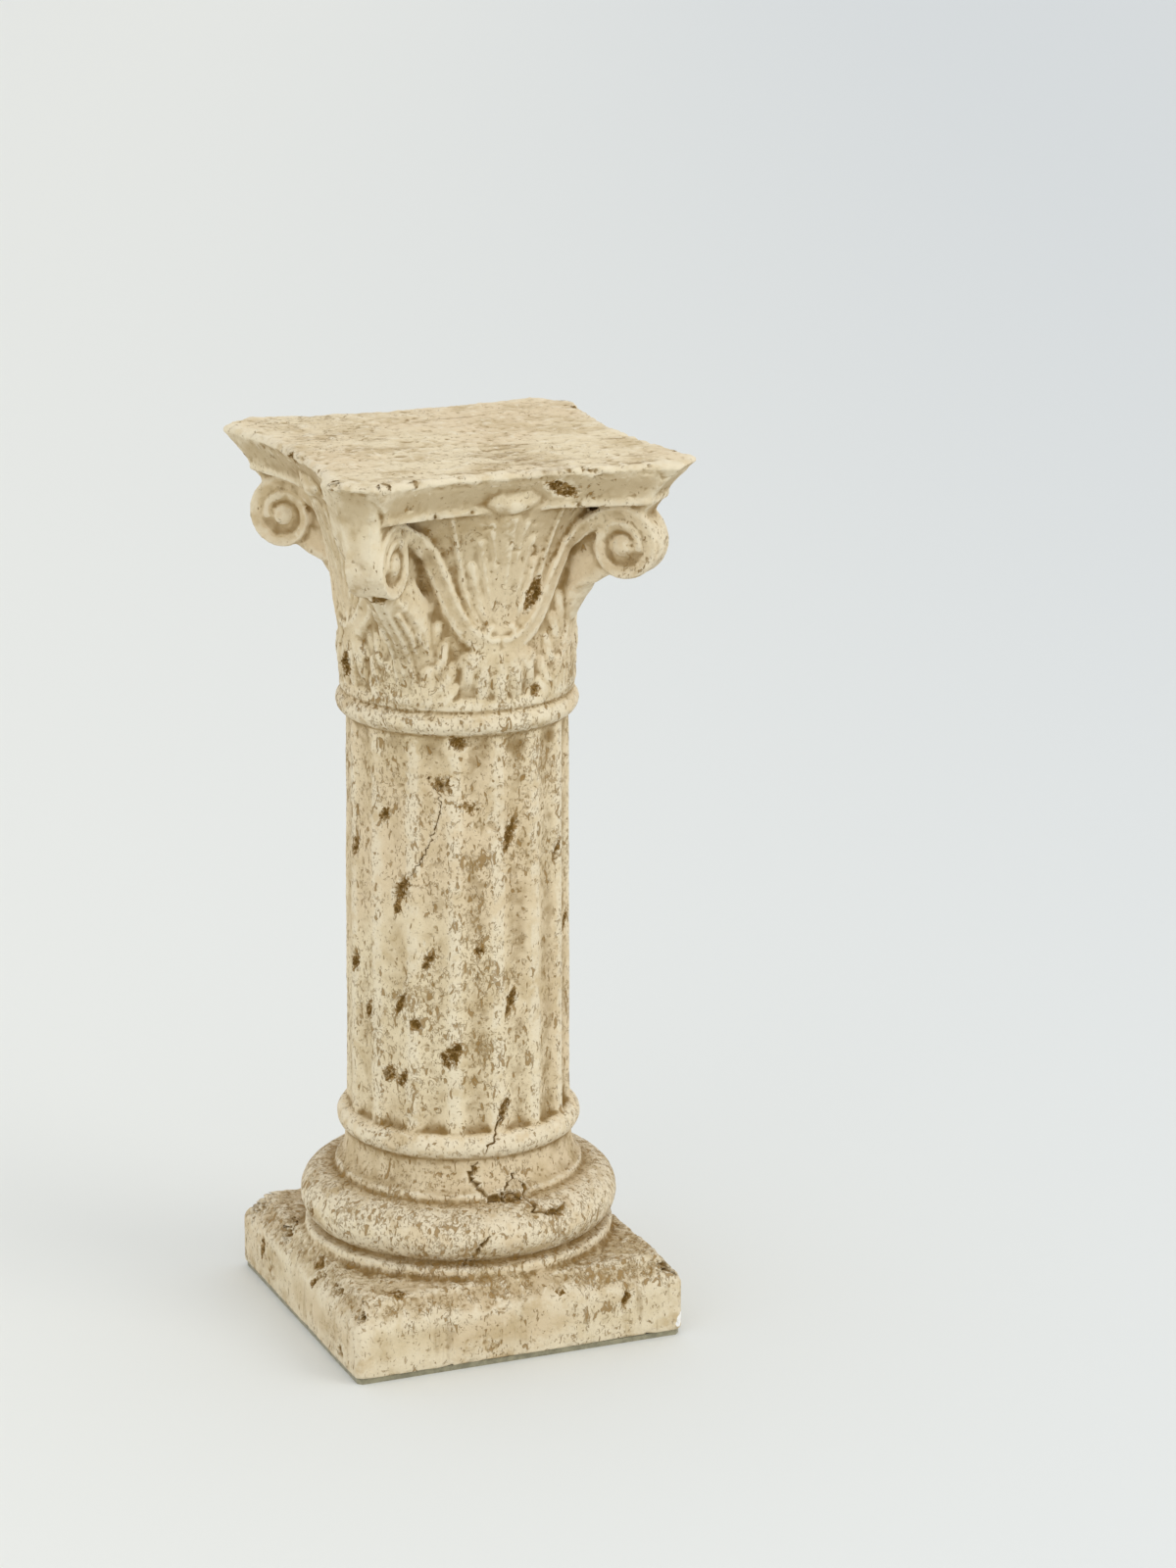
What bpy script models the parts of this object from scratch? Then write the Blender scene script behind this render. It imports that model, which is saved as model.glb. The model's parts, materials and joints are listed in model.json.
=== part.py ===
"""Corinthian pedestal column, cast in one piece, with a felt pad under its plinth.

Metres, +Z up. The origin is at the centre of the underside, where the felt meets the floor.
The column's axis is Z, and its plinth and abacus have their sides along X and Y.
"""

import math

import bmesh
import bpy
from mathutils import Vector

# Felt pad and plinth
FELT_THICKNESS = 0.0027
FELT_INSET = 0.0012
CLEARANCE = 0.0003
PLINTH_SIDE = 0.1750
PLINTH_HEIGHT = 0.0385
PLINTH_WORN_DROP = 0.0110
PLINTH_WORN_WIDTH = 0.0085
PLINTH_CORNER_CUT = 0.0022

# Moulded base, from the plinth upwards
FOOT_RADIUS = 0.0785
FOOT_HEIGHT = 0.0065
FOOT_CHAMFER = 0.0012
LOWER_TORUS_RADIUS = 0.0807
LOWER_TORUS_HEIGHT = 0.0280
SCOTIA_LIP_RADIUS = 0.0628
SCOTIA_LIP_HEIGHT = 0.0040
SCOTIA_HEIGHT = 0.0170
SCOTIA_NECK_RADIUS = 0.0572
UPPER_TORUS_RADIUS = 0.0617
UPPER_TORUS_HEIGHT = 0.0132

# Fluted shaft
SHAFT_LENGTH = 0.2042
SHAFT_FOOT_RADIUS = 0.0565
SHAFT_HEAD_RADIUS = 0.0554
FLUTES = 16
FLUTE_DEPTH = 0.0030
ARRIS_SHARE = 0.22
SHAFT_SINK = 0.0050

# Capital: ring under the bell, bell, abacus
ASTRAGAL_RADIUS = 0.0605
ASTRAGAL_HEIGHT = 0.0126
BELL_RADIUS = 0.0570
BELL_LIP_RADIUS = 0.0745
BELL_HEIGHT = 0.1010
ABACUS_SIDE = 0.1890
ABACUS_HEIGHT = 0.0220
ABACUS_FILLET = 0.0045
ABACUS_SLOPE_OUT = 0.0042
ABACUS_CHAMFER = 0.0013
ABACUS_SOFFIT_INSET = 0.0105
ABACUS_CORNER_CUT = 0.0166
ABACUS_HOLLOW = 0.0100
ABACUS_SINK = 0.0040

# Volutes under the abacus corners, and the flat stems that run up into them. A stem's rise is
# a share of the bell's height and degrees from the middle of its face, station by station.
VOLUTE_RADIUS = 0.0198
VOLUTE_SHRINK = 0.0077
VOLUTE_EDGE_TURNS = 0.56
VOLUTE_WIDTH = 0.0150
VOLUTE_DROP = 0.0022
STEM_WIDTH = 0.0080
STEM_RELIEF = 0.0028
STEM_RISE = (
    (0.325, 3.0), (0.34, 8.5), (0.375, 14.5), (0.44, 19.5), (0.54, 24.3), (0.66, 28.4), (0.78, 32.2)
)
SCROLL_BAND = 0.0064
SCROLL_BAND_END = 0.0036
SCROLL_RELIEF = 0.0020
SCROLL_TURNS = 1.2
BAND_SINK = 0.0030
ARCH_SINK = 0.0090
EYE_RADIUS = 0.0050

# Leaves on the bell: half width in degrees round the axis, foot and head as shares of the
# bell's height, lobes on each side, relief, and how far the tip curls out
CORNER_LEAF = (24.0, 0.04, 0.58, 5, 0.0046, 0.0080)
LOWER_LEAF = (19.0, 0.30, 0.09, 3, 0.0036, 0.0)
PALMETTE = (13.0, 0.38, 0.97, 3, 0.0032, 0.0)
LEAF_SINK = 0.0030
FLEURON_WIDTH = 0.0260
FLEURON_RELIEF = 0.0040

# How far the middle of a break stands proud of the surface that it is knocked out of
BREAK_PROUD = 0.0008

# How finely round forms are faceted, and the angle below which their facets are shaded smooth
TURNED_STEPS = 36
ARC_STEPS = 5
HOLLOW_STEPS = 6
VOLUTE_EDGE_STEPS = 10
SMOOTH_BELOW = math.radians(40)

# Levels where one turned form starts just off the next one's edge, so that no faces coincide
SEAM = 0.0002

# Heights worked out from the sizes above
STONE_FOOT_Z = FELT_THICKNESS + CLEARANCE
PLINTH_TOP_Z = STONE_FOOT_Z + PLINTH_HEIGHT
FOOT_TOP_Z = PLINTH_TOP_Z + FOOT_HEIGHT
LOWER_TORUS_TOP_Z = FOOT_TOP_Z + LOWER_TORUS_HEIGHT
SCOTIA_LIP_TOP_Z = LOWER_TORUS_TOP_Z + SCOTIA_LIP_HEIGHT
SCOTIA_TOP_Z = SCOTIA_LIP_TOP_Z + SCOTIA_HEIGHT
SHAFT_FOOT_Z = SCOTIA_TOP_Z + UPPER_TORUS_HEIGHT
SHAFT_HEAD_Z = SHAFT_FOOT_Z + SHAFT_LENGTH
BELL_FOOT_Z = SHAFT_HEAD_Z + ASTRAGAL_HEIGHT
SOFFIT_Z = BELL_FOOT_Z + BELL_HEIGHT
CORE_RADIUS = SHAFT_HEAD_RADIUS - 2 * FLUTE_DEPTH

# Where a scroll's centre is, on the diagonal through an abacus corner
SOFFIT_HALF = ABACUS_SIDE / 2 - ABACUS_SOFFIT_INSET
SOFFIT_CORNER = (2 * SOFFIT_HALF - ABACUS_CORNER_CUT) / math.sqrt(2)
VOLUTE_CENTRE = SOFFIT_CORNER - 0.84 * VOLUTE_RADIUS
VOLUTE_CENTRE_Z = SOFFIT_Z - VOLUTE_RADIUS - VOLUTE_DROP
STEM_PARTING = 1.11 * BELL_RADIUS


def clear_scene():
    for old in list(bpy.data.objects):
        bpy.data.objects.remove(old, do_unlink=True)


def plain_material(name, colour, roughness):
    made = bpy.data.materials.new(name)
    made.use_nodes = True
    shader = made.node_tree.nodes["Principled BSDF"]
    shader.inputs["Base Color"].default_value = (*colour, 1.0)
    shader.inputs["Roughness"].default_value = roughness
    shader.inputs["Metallic"].default_value = 0.0
    return made


def new_object(name, bm, material=None):
    """Turns a bmesh into a linked object with its faces pointing outwards."""
    bm.normal_update()
    bmesh.ops.recalc_face_normals(bm, faces=bm.faces)
    mesh = bpy.data.meshes.new(name)
    bm.to_mesh(mesh)
    bm.free()
    mesh.shade_smooth()
    mesh.set_sharp_from_angle(angle=SMOOTH_BELOW)
    made = bpy.data.objects.new(name, mesh)
    bpy.context.scene.collection.objects.link(made)
    if material:
        mesh.materials.append(material)
    return made


def hidden_group(name, forms):
    """Moves forms that only feed a Boolean into a collection of their own."""
    group = bpy.data.collections.new(name)
    bpy.context.scene.collection.children.link(group)
    for form in forms:
        bpy.context.scene.collection.objects.unlink(form)
        group.objects.link(form)
        form.hide_render = True
        form.display_type = "WIRE"
    return group


def combine(target, operation, group):
    """Joins or cuts a whole group of closed forms at once.

    EXACT leaves open edges here, where many of the carved forms cross each other along nearly
    the same line. MANIFOLD keeps the body closed.
    """
    modifier = target.modifiers.new(group.name, "BOOLEAN")
    modifier.operation = operation
    modifier.solver = "MANIFOLD"
    modifier.operand_type = "COLLECTION"
    modifier.collection = group


def stacked(rings):
    """A closed solid through rings of points, each with as many points, capped at both ends."""
    bm = bmesh.new()
    loops = [[bm.verts.new(p) for p in ring] for ring in rings]
    count = len(loops[0])
    for low, high in zip(loops, loops[1:]):
        for i in range(count):
            j = (i + 1) % count
            bm.faces.new((low[i], low[j], high[j], high[i]))
    bm.faces.new(list(reversed(loops[0])))
    bm.faces.new(loops[-1])
    return bm


def turned(profile):
    """A solid of revolution through (radius, height) points, from its foot to its head."""
    angles = [2 * math.pi * i / TURNED_STEPS for i in range(TURNED_STEPS)]
    return stacked([[(r * math.cos(a), r * math.sin(a), z) for a in angles] for r, z in profile])


def roll(radius, foot_z, head_z):
    """A torus moulding's half-round edge, as (radius, height) points from foot to head."""
    half = (head_z - foot_z) / 2
    middle = (head_z + foot_z) / 2
    turns = [math.pi * (i / ARC_STEPS - 0.5) for i in range(ARC_STEPS + 1)]
    return [(radius - half + half * math.cos(t), middle + half * math.sin(t)) for t in turns]


def scotia():
    """The hollow between the two tori, narrowing upwards in a quarter of an ellipse."""
    points = []
    for i in range(ARC_STEPS):
        t = math.pi / 2 * i / (ARC_STEPS - 1)
        radius = SCOTIA_NECK_RADIUS + (SCOTIA_LIP_RADIUS - SCOTIA_NECK_RADIUS) * (1 - math.sin(t))
        points.append((radius, SCOTIA_LIP_TOP_Z + SCOTIA_HEIGHT * (1 - math.cos(t))))
    return points


def bell_radius(z):
    share = max(0.0, (z - BELL_FOOT_Z) / BELL_HEIGHT)
    return BELL_RADIUS + (BELL_LIP_RADIUS - BELL_RADIUS) * share**3


def bell_z(share):
    """The height at a share of the bell's own height."""
    return BELL_FOOT_Z + share * BELL_HEIGHT


def on_bell(degrees, z, lift):
    """A point on the bell, lifted off it; degrees are counted from +X."""
    reach = bell_radius(z) + lift
    angle = math.radians(degrees)
    return Vector((reach * math.cos(angle), reach * math.sin(angle), z))


def base_profile():
    sink = PLINTH_TOP_Z - SHAFT_SINK
    profile = [(FOOT_RADIUS, sink), (FOOT_RADIUS, FOOT_TOP_Z - FOOT_CHAMFER)]
    profile += [(FOOT_RADIUS - FOOT_CHAMFER, FOOT_TOP_Z)]
    profile += roll(LOWER_TORUS_RADIUS, FOOT_TOP_Z, LOWER_TORUS_TOP_Z)
    profile += [(SCOTIA_LIP_RADIUS, LOWER_TORUS_TOP_Z + 2 * SEAM)]
    profile += scotia()
    profile += roll(UPPER_TORUS_RADIUS, SCOTIA_TOP_Z, SHAFT_FOOT_Z)[1:]
    profile += [(CORE_RADIUS, SHAFT_FOOT_Z + SEAM)]
    return profile


def capital_profile():
    profile = [(CORE_RADIUS, SHAFT_HEAD_Z - SEAM)]
    profile += roll(ASTRAGAL_RADIUS, SHAFT_HEAD_Z, BELL_FOOT_Z)
    profile += [(bell_radius(bell_z(s)), bell_z(s)) for s in (0.04, 0.36, 0.56, 0.73, 0.87, 1.0)]
    profile += [(BELL_LIP_RADIUS, SOFFIT_Z + ABACUS_SINK)]
    return profile


def fluted_plan(radius, z):
    """The shaft's outline: a flat arris, then a hollow flute, all round; an arris faces each side."""
    pitch = 2 * math.pi / FLUTES
    half_arris = ARRIS_SHARE / 2
    hollow = 1 - ARRIS_SHARE
    stations = [(-half_arris, 0.0), (half_arris, 0.0)]
    stations += [(half_arris + hollow * s, 1 - (2 * s - 1) ** 2) for s in (0.2, 0.4, 0.6, 0.8)]
    ring = []
    for flute in range(FLUTES):
        for share, sunk in stations:
            angle = pitch * (flute + share)
            reach = radius - FLUTE_DEPTH * sunk
            ring.append((reach * math.cos(angle), reach * math.sin(angle), z))
    return ring


def cut_square_plan(half, cut, hollow, z, steps):
    """A square with cut corners and sides that hollow inwards by an arc of a circle."""
    reach = half - cut
    ring = []
    for side in range(4):
        along = Vector((-math.sin(side * math.pi / 2), math.cos(side * math.pi / 2)))
        out = Vector((math.cos(side * math.pi / 2), math.sin(side * math.pi / 2)))
        for i in range(steps + 1):
            t = 2 * i / steps - 1
            sagitta = 0.0
            if hollow > 0:
                arc = (reach**2 + hollow**2) / (2 * hollow)
                sagitta = math.sqrt(arc**2 - (reach * t) ** 2) - (arc - hollow)
            place = out * (half - sagitta) + along * (reach * t)
            ring.append((place.x, place.y, z))
    return ring


def plinth():
    half = PLINTH_SIDE / 2
    levels = [
        (half, STONE_FOOT_Z),
        (half, PLINTH_TOP_Z - PLINTH_WORN_DROP),
        (half - PLINTH_WORN_WIDTH, PLINTH_TOP_Z),
    ]
    return stacked([cut_square_plan(h, PLINTH_CORNER_CUT, 0.0, z, 1) for h, z in levels])


def shaft():
    ends = [
        (SHAFT_FOOT_RADIUS, SHAFT_FOOT_Z - SHAFT_SINK),
        (SHAFT_HEAD_RADIUS, SHAFT_HEAD_Z + SHAFT_SINK),
    ]
    return stacked([fluted_plan(radius, z) for radius, z in ends])


def abacus():
    """The top slab: a sloping hollow side below, and a square fillet round its top edge."""
    half = ABACUS_SIDE / 2
    band = ABACUS_HEIGHT - ABACUS_FILLET
    levels = [(SOFFIT_HALF, 0.0), (SOFFIT_HALF + 0.24 * ABACUS_SLOPE_OUT, 0.28 * band)]
    levels += [(SOFFIT_HALF + ABACUS_SLOPE_OUT, 0.62 * band)]
    levels += [(half - 2 * ABACUS_CHAMFER, band), (half, band + 0.6 * ABACUS_CHAMFER)]
    levels += [(half, ABACUS_HEIGHT - ABACUS_CHAMFER), (half - ABACUS_CHAMFER, ABACUS_HEIGHT)]
    return stacked(
        [cut_square_plan(h, ABACUS_CORNER_CUT, ABACUS_HOLLOW, SOFFIT_Z + z, HOLLOW_STEPS) for h, z in levels]
    )


def in_diagonal(reach, aside, z, degrees):
    """A point from its distance out along a corner's diagonal and its offset to the side."""
    angle = math.radians(degrees)
    out = Vector((math.cos(angle), math.sin(angle), 0))
    along = Vector((-math.sin(angle), math.cos(angle), 0))
    return out * reach + along * aside + Vector((0, 0, z))


def scroll_point(turn, reach):
    """Where the scroll is after a number of turns, from its top, outwards and down."""
    angle = 2 * math.pi * turn
    return VOLUTE_CENTRE + reach * math.sin(angle), VOLUTE_CENTRE_Z + reach * math.cos(angle)


def towards_scroll(share):
    """How far out a point is on the way from where a stem leaves the bell to the scroll's centre."""
    return STEM_PARTING + share * (VOLUTE_CENTRE - STEM_PARTING)


def volute_outline():
    """The volute seen from the side: its round edge, then the web that joins it to the bell."""
    turns = [VOLUTE_EDGE_TURNS * i / VOLUTE_EDGE_STEPS for i in range(VOLUTE_EDGE_STEPS + 1)]
    edge = [scroll_point(turn, VOLUTE_RADIUS - VOLUTE_SHRINK * turn) for turn in turns]
    web_foot = (0.5 * (VOLUTE_CENTRE + BELL_RADIUS), bell_z(0.575))
    inside = 0.8 * BELL_RADIUS
    joint = [(1.06 * BELL_RADIUS, bell_z(0.50)), (inside, bell_z(0.50))]
    crown = [(inside, bell_z(0.955)), (towards_scroll(0.52), bell_z(0.955))]
    return edge + [web_foot] + joint + crown


def volute(degrees):
    half = VOLUTE_WIDTH / 2
    outline = volute_outline()
    return stacked([[in_diagonal(d, aside, z, degrees) for d, z in outline] for aside in (-half, half)])


def volute_neck(degrees):
    """The block that ties a volute to the bell's lip and to the abacus corner above it."""
    half = 0.60 * VOLUTE_WIDTH
    near, far = 0.90 * BELL_LIP_RADIUS, VOLUTE_CENTRE + 0.68 * VOLUTE_RADIUS
    low, high = VOLUTE_CENTRE_Z + 0.72 * VOLUTE_RADIUS, SOFFIT_Z + ABACUS_SINK
    outline = [(near, low), (far, low), (far, high), (near, high)]
    return stacked([[in_diagonal(d, aside, z, degrees) for d, z in outline] for aside in (-half, half)])


def eye_boss(degrees, side):
    """The round button in the middle of a scroll."""
    rings = []
    for lift, radius in ((-SCROLL_RELIEF, EYE_RADIUS), (SCROLL_RELIEF, 0.72 * EYE_RADIUS)):
        aside = side * (VOLUTE_WIDTH / 2 + lift)
        places = [scroll_point(i / 8, radius) for i in range(8)]
        rings.append([in_diagonal(reach, aside, z, degrees) for reach, z in places])
    return stacked(rings)


def stem_path(degrees, side):
    """A stem from the middle of a face, up the bell and round into its scroll.

    Each station is its place, the way its front faces, its width, its relief, and how deep its
    back goes.
    """
    middle = degrees + side * 45
    stations = []
    for share, turn in STEM_RISE:
        place = on_bell(middle - side * turn, bell_z(share), 0.0)
        facing = Vector((place.x, place.y, 0)).normalized()
        stations.append((place, facing, STEM_WIDTH, STEM_RELIEF, BAND_SINK))
    angle = math.radians(degrees)
    flank = Vector((-math.sin(angle), math.cos(angle), 0)) * side
    between = (stations[-1][1] + flank).normalized()
    aside = side * VOLUTE_WIDTH / 2
    crossing = in_diagonal(towards_scroll(0.30), 1.42 * aside, bell_z(0.862), degrees)
    arching = in_diagonal(towards_scroll(0.67), 1.06 * aside, bell_z(0.928), degrees)
    stations.append((crossing, between, 0.95 * STEM_WIDTH, STEM_RELIEF, ARCH_SINK))
    stations.append((arching, flank, 0.86 * STEM_WIDTH, SCROLL_RELIEF, BAND_SINK))
    for i in range(VOLUTE_EDGE_STEPS + 1):
        share = i / VOLUTE_EDGE_STEPS
        turn = SCROLL_TURNS * share
        width = SCROLL_BAND + (SCROLL_BAND_END - SCROLL_BAND) * share
        reach, z = scroll_point(turn, VOLUTE_RADIUS - VOLUTE_SHRINK * turn - width / 2)
        stations.append((in_diagonal(reach, aside, z, degrees), flank, width, SCROLL_RELIEF, BAND_SINK))
    return stations


def banded(stations, side):
    """A flat band along stations, with a raised rim on its outer edge and its back sunk in."""
    section = ((-0.46, 0.8), (-0.20, 1.0), (0.50, 0.42))
    rings = []
    last = len(stations) - 1
    for i, (place, facing, width, relief, sink) in enumerate(stations):
        ahead = (stations[min(i + 1, last)][0] - stations[max(i - 1, 0)][0]).normalized()
        normal = (facing - ahead * facing.dot(ahead)).normalized()
        across = ahead.cross(normal) * side
        ring = [place - across * 0.5 * width - normal * sink]
        ring += [place + across * offset * width + normal * lift * relief for offset, lift in section]
        ring += [place + across * 0.5 * width - normal * sink]
        rings.append(ring)
    return stacked(rings)


def leaf(middle, width, foot, head, lobes, relief, curl):
    """An acanthus leaf on the bell: pointed lobes with notches between, and a raised midrib.

    middle and width are in degrees, foot and head are shares of the bell's height. curl is how
    far the leaf's tip stands out from the bell. Its back is sunk in the bell.
    """
    rows = 2 * lobes
    columns = (-1.0, -0.55, -0.2, 0.0, 0.2, 0.55, 1.0)
    slant = (0.13 if head > foot else -0.13) * min(1.0, 4.5 * abs(head - foot))
    bm = bmesh.new()
    front, back = [], []
    for r in range(rows + 1):
        v = r / rows
        swell = math.sin(math.pi * (0.30 + 0.62 * v)) ** 0.8
        tip = r % 2 == 1
        front_row, back_row = [], []
        for u in columns:
            spread = u if tip else u * (1 - 0.38 * abs(u))
            turn = width * swell * spread
            z = bell_z(foot + (head - foot) * v + slant * abs(spread) * (1 - 0.5 * v))
            ridge = 1 - 0.35 * u * u if tip else 0.80 - 0.66 * abs(u)
            groove = 0.16 if abs(u) == 0.2 else 0.0
            proud = relief * (ridge - groove) + curl * v**4
            front_row.append(bm.verts.new(on_bell(middle + turn, z, proud)))
            back_row.append(bm.verts.new(on_bell(middle + turn, z, -LEAF_SINK)))
        front.append(front_row)
        back.append(back_row)
    side = len(columns) - 1
    for grid in (front, back):
        for r in range(rows):
            for c in range(side):
                bm.faces.new((grid[r][c], grid[r][c + 1], grid[r + 1][c + 1], grid[r + 1][c]))
    rim = [(0, c) for c in range(side)] + [(r, side) for r in range(rows)]
    rim += [(rows, c) for c in range(side, 0, -1)] + [(r, 0) for r in range(rows, 0, -1)]
    for (r, c), (s, d) in zip(rim, rim[1:] + rim[:1]):
        bm.faces.new((front[r][c], front[s][d], back[s][d], back[r][c]))
    return bm


def ellipsoid(centre, degrees, halves, steps):
    """A faceted ellipsoid; its half sizes run sideways, outwards and upwards at that angle."""
    bm = bmesh.new()
    bmesh.ops.create_icosphere(bm, subdivisions=steps, radius=1.0)
    aside, out, up = halves
    for vert in bm.verts:
        reach = centre[0] + vert.co.y * out
        vert.co = in_diagonal(reach, vert.co.x * aside, centre[1] + vert.co.z * up, degrees)
    return bm


def fleuron(degrees):
    """The worn flower in the middle of each abacus side."""
    surface = SOFFIT_HALF + ABACUS_SLOPE_OUT - ABACUS_HOLLOW
    halves = (FLEURON_WIDTH / 2, 2 * FLEURON_RELIEF, 0.44 * ABACUS_HEIGHT)
    centre = (surface - FLEURON_RELIEF, SOFFIT_Z + 0.45 * ABACUS_HEIGHT)
    return ellipsoid(centre, degrees, halves, 2)


def carved_forms():
    """Each form that is joined to the plinth, as (name, bmesh)."""
    yield "turned_base", turned(base_profile())
    yield "fluted_shaft", shaft()
    yield "turned_capital", turned(capital_profile())
    yield "abacus", abacus()
    for quarter in range(4):
        corner = 45 + 90 * quarter
        face = 90 * quarter
        yield f"volute_{quarter}", volute(corner)
        yield f"volute_neck_{quarter}", volute_neck(corner)
        for side in (-1, 1):
            yield f"stem_{quarter}_{side}", banded(stem_path(corner, side), side)
            yield f"eye_{quarter}_{side}", eye_boss(corner, side)
        yield f"corner_leaf_{quarter}", leaf(corner, *CORNER_LEAF)
        yield f"lower_leaf_{quarter}", leaf(face, *LOWER_LEAF)
        yield f"palmette_{quarter}", leaf(face, *PALMETTE)
        yield f"fleuron_{quarter}", fleuron(face)


def shaft_break(name, degrees, share, halves):
    """A piece knocked out of the shaft, at a share of its length."""
    reach = SHAFT_HEAD_RADIUS + BREAK_PROUD
    return name, ellipsoid((reach, SHAFT_FOOT_Z + share * SHAFT_LENGTH), degrees - 90, halves, 1)


def bell_break(name, degrees, share, halves):
    reach = bell_radius(bell_z(share)) + BREAK_PROUD
    return name, ellipsoid((reach, bell_z(share)), degrees - 90, halves, 1)


def plinth_break(name, degrees, share, drop, halves):
    """A piece knocked out of the plinth's top, at a share of its half side and below its top."""
    reach = share * PLINTH_SIDE / 2
    return name, ellipsoid((reach, PLINTH_TOP_Z - drop), degrees - 90, halves, 1)


def break_cutters():
    """The pieces knocked out of the cast, as (name, bmesh). Degrees are counted from the front, -Y."""
    yield shaft_break("shaft_hole", -52.0, 0.60, (0.0050, 0.0038, 0.0095))
    yield shaft_break("shaft_pit", -36.3, 0.44, (0.0030, 0.0034, 0.0070))
    yield shaft_break("shaft_scar", -13.0, 0.82, (0.0085, 0.0030, 0.0050))
    yield shaft_break("flute_scar", 8.3, 0.75, (0.0032, 0.0034, 0.0090))
    yield shaft_break("lower_pit", -27.0, 0.195, (0.0062, 0.0034, 0.0052))
    yield shaft_break("shaft_foot_pit", 3.6, 0.06, (0.0030, 0.0034, 0.0080))
    yield bell_break("bell_hole", 14.0, 0.57, (0.0035, 0.0050, 0.0070))
    yield bell_break("bell_side_hole", -87.0, 0.17, (0.0045, 0.0040, 0.0060))
    pit = (SOFFIT_HALF - 0.1 * ABACUS_HOLLOW, SOFFIT_Z + 0.5 * ABACUS_HEIGHT)
    yield "abacus_pit", ellipsoid(pit, 13.2 - 90, (0.0075, 0.0036, 0.0040), 1)
    yield plinth_break("plinth_top_pit", -39.3, 1.143, 0.0005, (0.0055, 0.0040, 0.0035))
    yield plinth_break("plinth_right_corner", 45.0, 1.371, 0.0015, (0.0120, 0.0080, 0.0085))
    yield plinth_break("plinth_back_left_corner", -133.0, 1.354, -0.0015, (0.0210, 0.0130, 0.0120))


def column(material):
    """The whole cast column: the plinth, with every other form joined to it as one solid."""
    made = new_object("column", plinth(), material)
    joined = hidden_group("joined_forms", [new_object(name, bm) for name, bm in carved_forms()])
    knocked_out = hidden_group("breaks", [new_object(name, bm) for name, bm in break_cutters()])
    combine(made, "UNION", joined)
    combine(made, "DIFFERENCE", knocked_out)
    return made


def felt_pad(material):
    """The flat felt sheet glued under the plinth."""
    half = PLINTH_SIDE / 2 - FELT_INSET
    sheet = stacked([cut_square_plan(half, PLINTH_CORNER_CUT, 0.0, z, 1) for z in (0.0, FELT_THICKNESS)])
    return new_object("felt_pad", sheet, material)


def main():
    clear_scene()
    column(plain_material("aged cast plaster", (0.55, 0.44, 0.27), 0.85))
    felt_pad(plain_material("grey green felt", (0.16, 0.15, 0.11), 0.95))


main()
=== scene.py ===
# %% [markdown]
# # A small cast pedestal column
#
# The real thing is about knee high: a square plinth on a felt pad, a moulded round base, a
# fluted shaft, and a leafy capital with a scroll under each corner of its flat top. It was cast
# in plaster in one mould, coloured with a pale cream and a brown wash, and knocked about to
# look old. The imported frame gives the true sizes, so everything below is measured from it.

# %% Load the frame
import json
import math

import bmesh
import bpy
import numpy as np
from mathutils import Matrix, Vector

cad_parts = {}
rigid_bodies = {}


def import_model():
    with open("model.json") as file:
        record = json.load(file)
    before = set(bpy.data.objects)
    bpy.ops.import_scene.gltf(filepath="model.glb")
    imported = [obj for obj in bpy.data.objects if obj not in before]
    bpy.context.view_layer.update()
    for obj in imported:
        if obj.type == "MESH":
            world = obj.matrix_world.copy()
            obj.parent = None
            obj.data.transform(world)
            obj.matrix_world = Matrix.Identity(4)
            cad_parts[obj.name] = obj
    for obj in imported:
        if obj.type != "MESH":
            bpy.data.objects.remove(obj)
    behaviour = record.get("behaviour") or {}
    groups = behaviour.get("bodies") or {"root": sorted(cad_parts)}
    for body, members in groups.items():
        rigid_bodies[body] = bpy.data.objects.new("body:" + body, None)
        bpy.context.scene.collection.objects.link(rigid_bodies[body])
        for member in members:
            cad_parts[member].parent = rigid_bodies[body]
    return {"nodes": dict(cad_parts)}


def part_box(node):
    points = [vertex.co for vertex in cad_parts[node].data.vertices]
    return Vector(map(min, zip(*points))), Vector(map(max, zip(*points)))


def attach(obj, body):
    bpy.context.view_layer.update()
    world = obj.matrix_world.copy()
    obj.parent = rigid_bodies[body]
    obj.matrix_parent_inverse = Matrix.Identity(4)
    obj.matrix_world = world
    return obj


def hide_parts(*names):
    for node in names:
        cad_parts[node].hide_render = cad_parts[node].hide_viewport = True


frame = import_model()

scene = bpy.context.scene
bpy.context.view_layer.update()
stone_low, stone_high = (Vector(corner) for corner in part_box("column"))
felt_low, felt_high = (Vector(corner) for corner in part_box("felt_pad"))
print("column from", tuple(stone_low), "to", tuple(stone_high))

# %% [markdown]
# ## Sizes
#
# A column is drawn from the ground up, each moulding standing on the one below it. The heights
# are kept as named levels above the floor, and the widths as radii or half widths. `MM` lets
# them be written in millimetres, the way a mould maker would write them.

# %% Levels and widths, from the ground up
MM = 0.001
STONE_FOOT = stone_low.z
STONE_TOP = stone_high.z
PLINTH_HALF = felt_high.x + 1.2 * MM
ABACUS_HALF = stone_high.x

PLINTH_TOP = STONE_FOOT + 38.5 * MM
FOOT_TOP = PLINTH_TOP + 6.5 * MM
LOWER_TORUS_TOP = FOOT_TOP + 28.0 * MM
SCOTIA_LIP_TOP = LOWER_TORUS_TOP + 4.0 * MM
SCOTIA_TOP = SCOTIA_LIP_TOP + 17.0 * MM
SHAFT_FOOT = SCOTIA_TOP + 13.2 * MM
SOFFIT = STONE_TOP - 22.0 * MM
BELL_FOOT = SOFFIT - 101.0 * MM
SHAFT_HEAD = BELL_FOOT - 12.6 * MM

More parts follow.
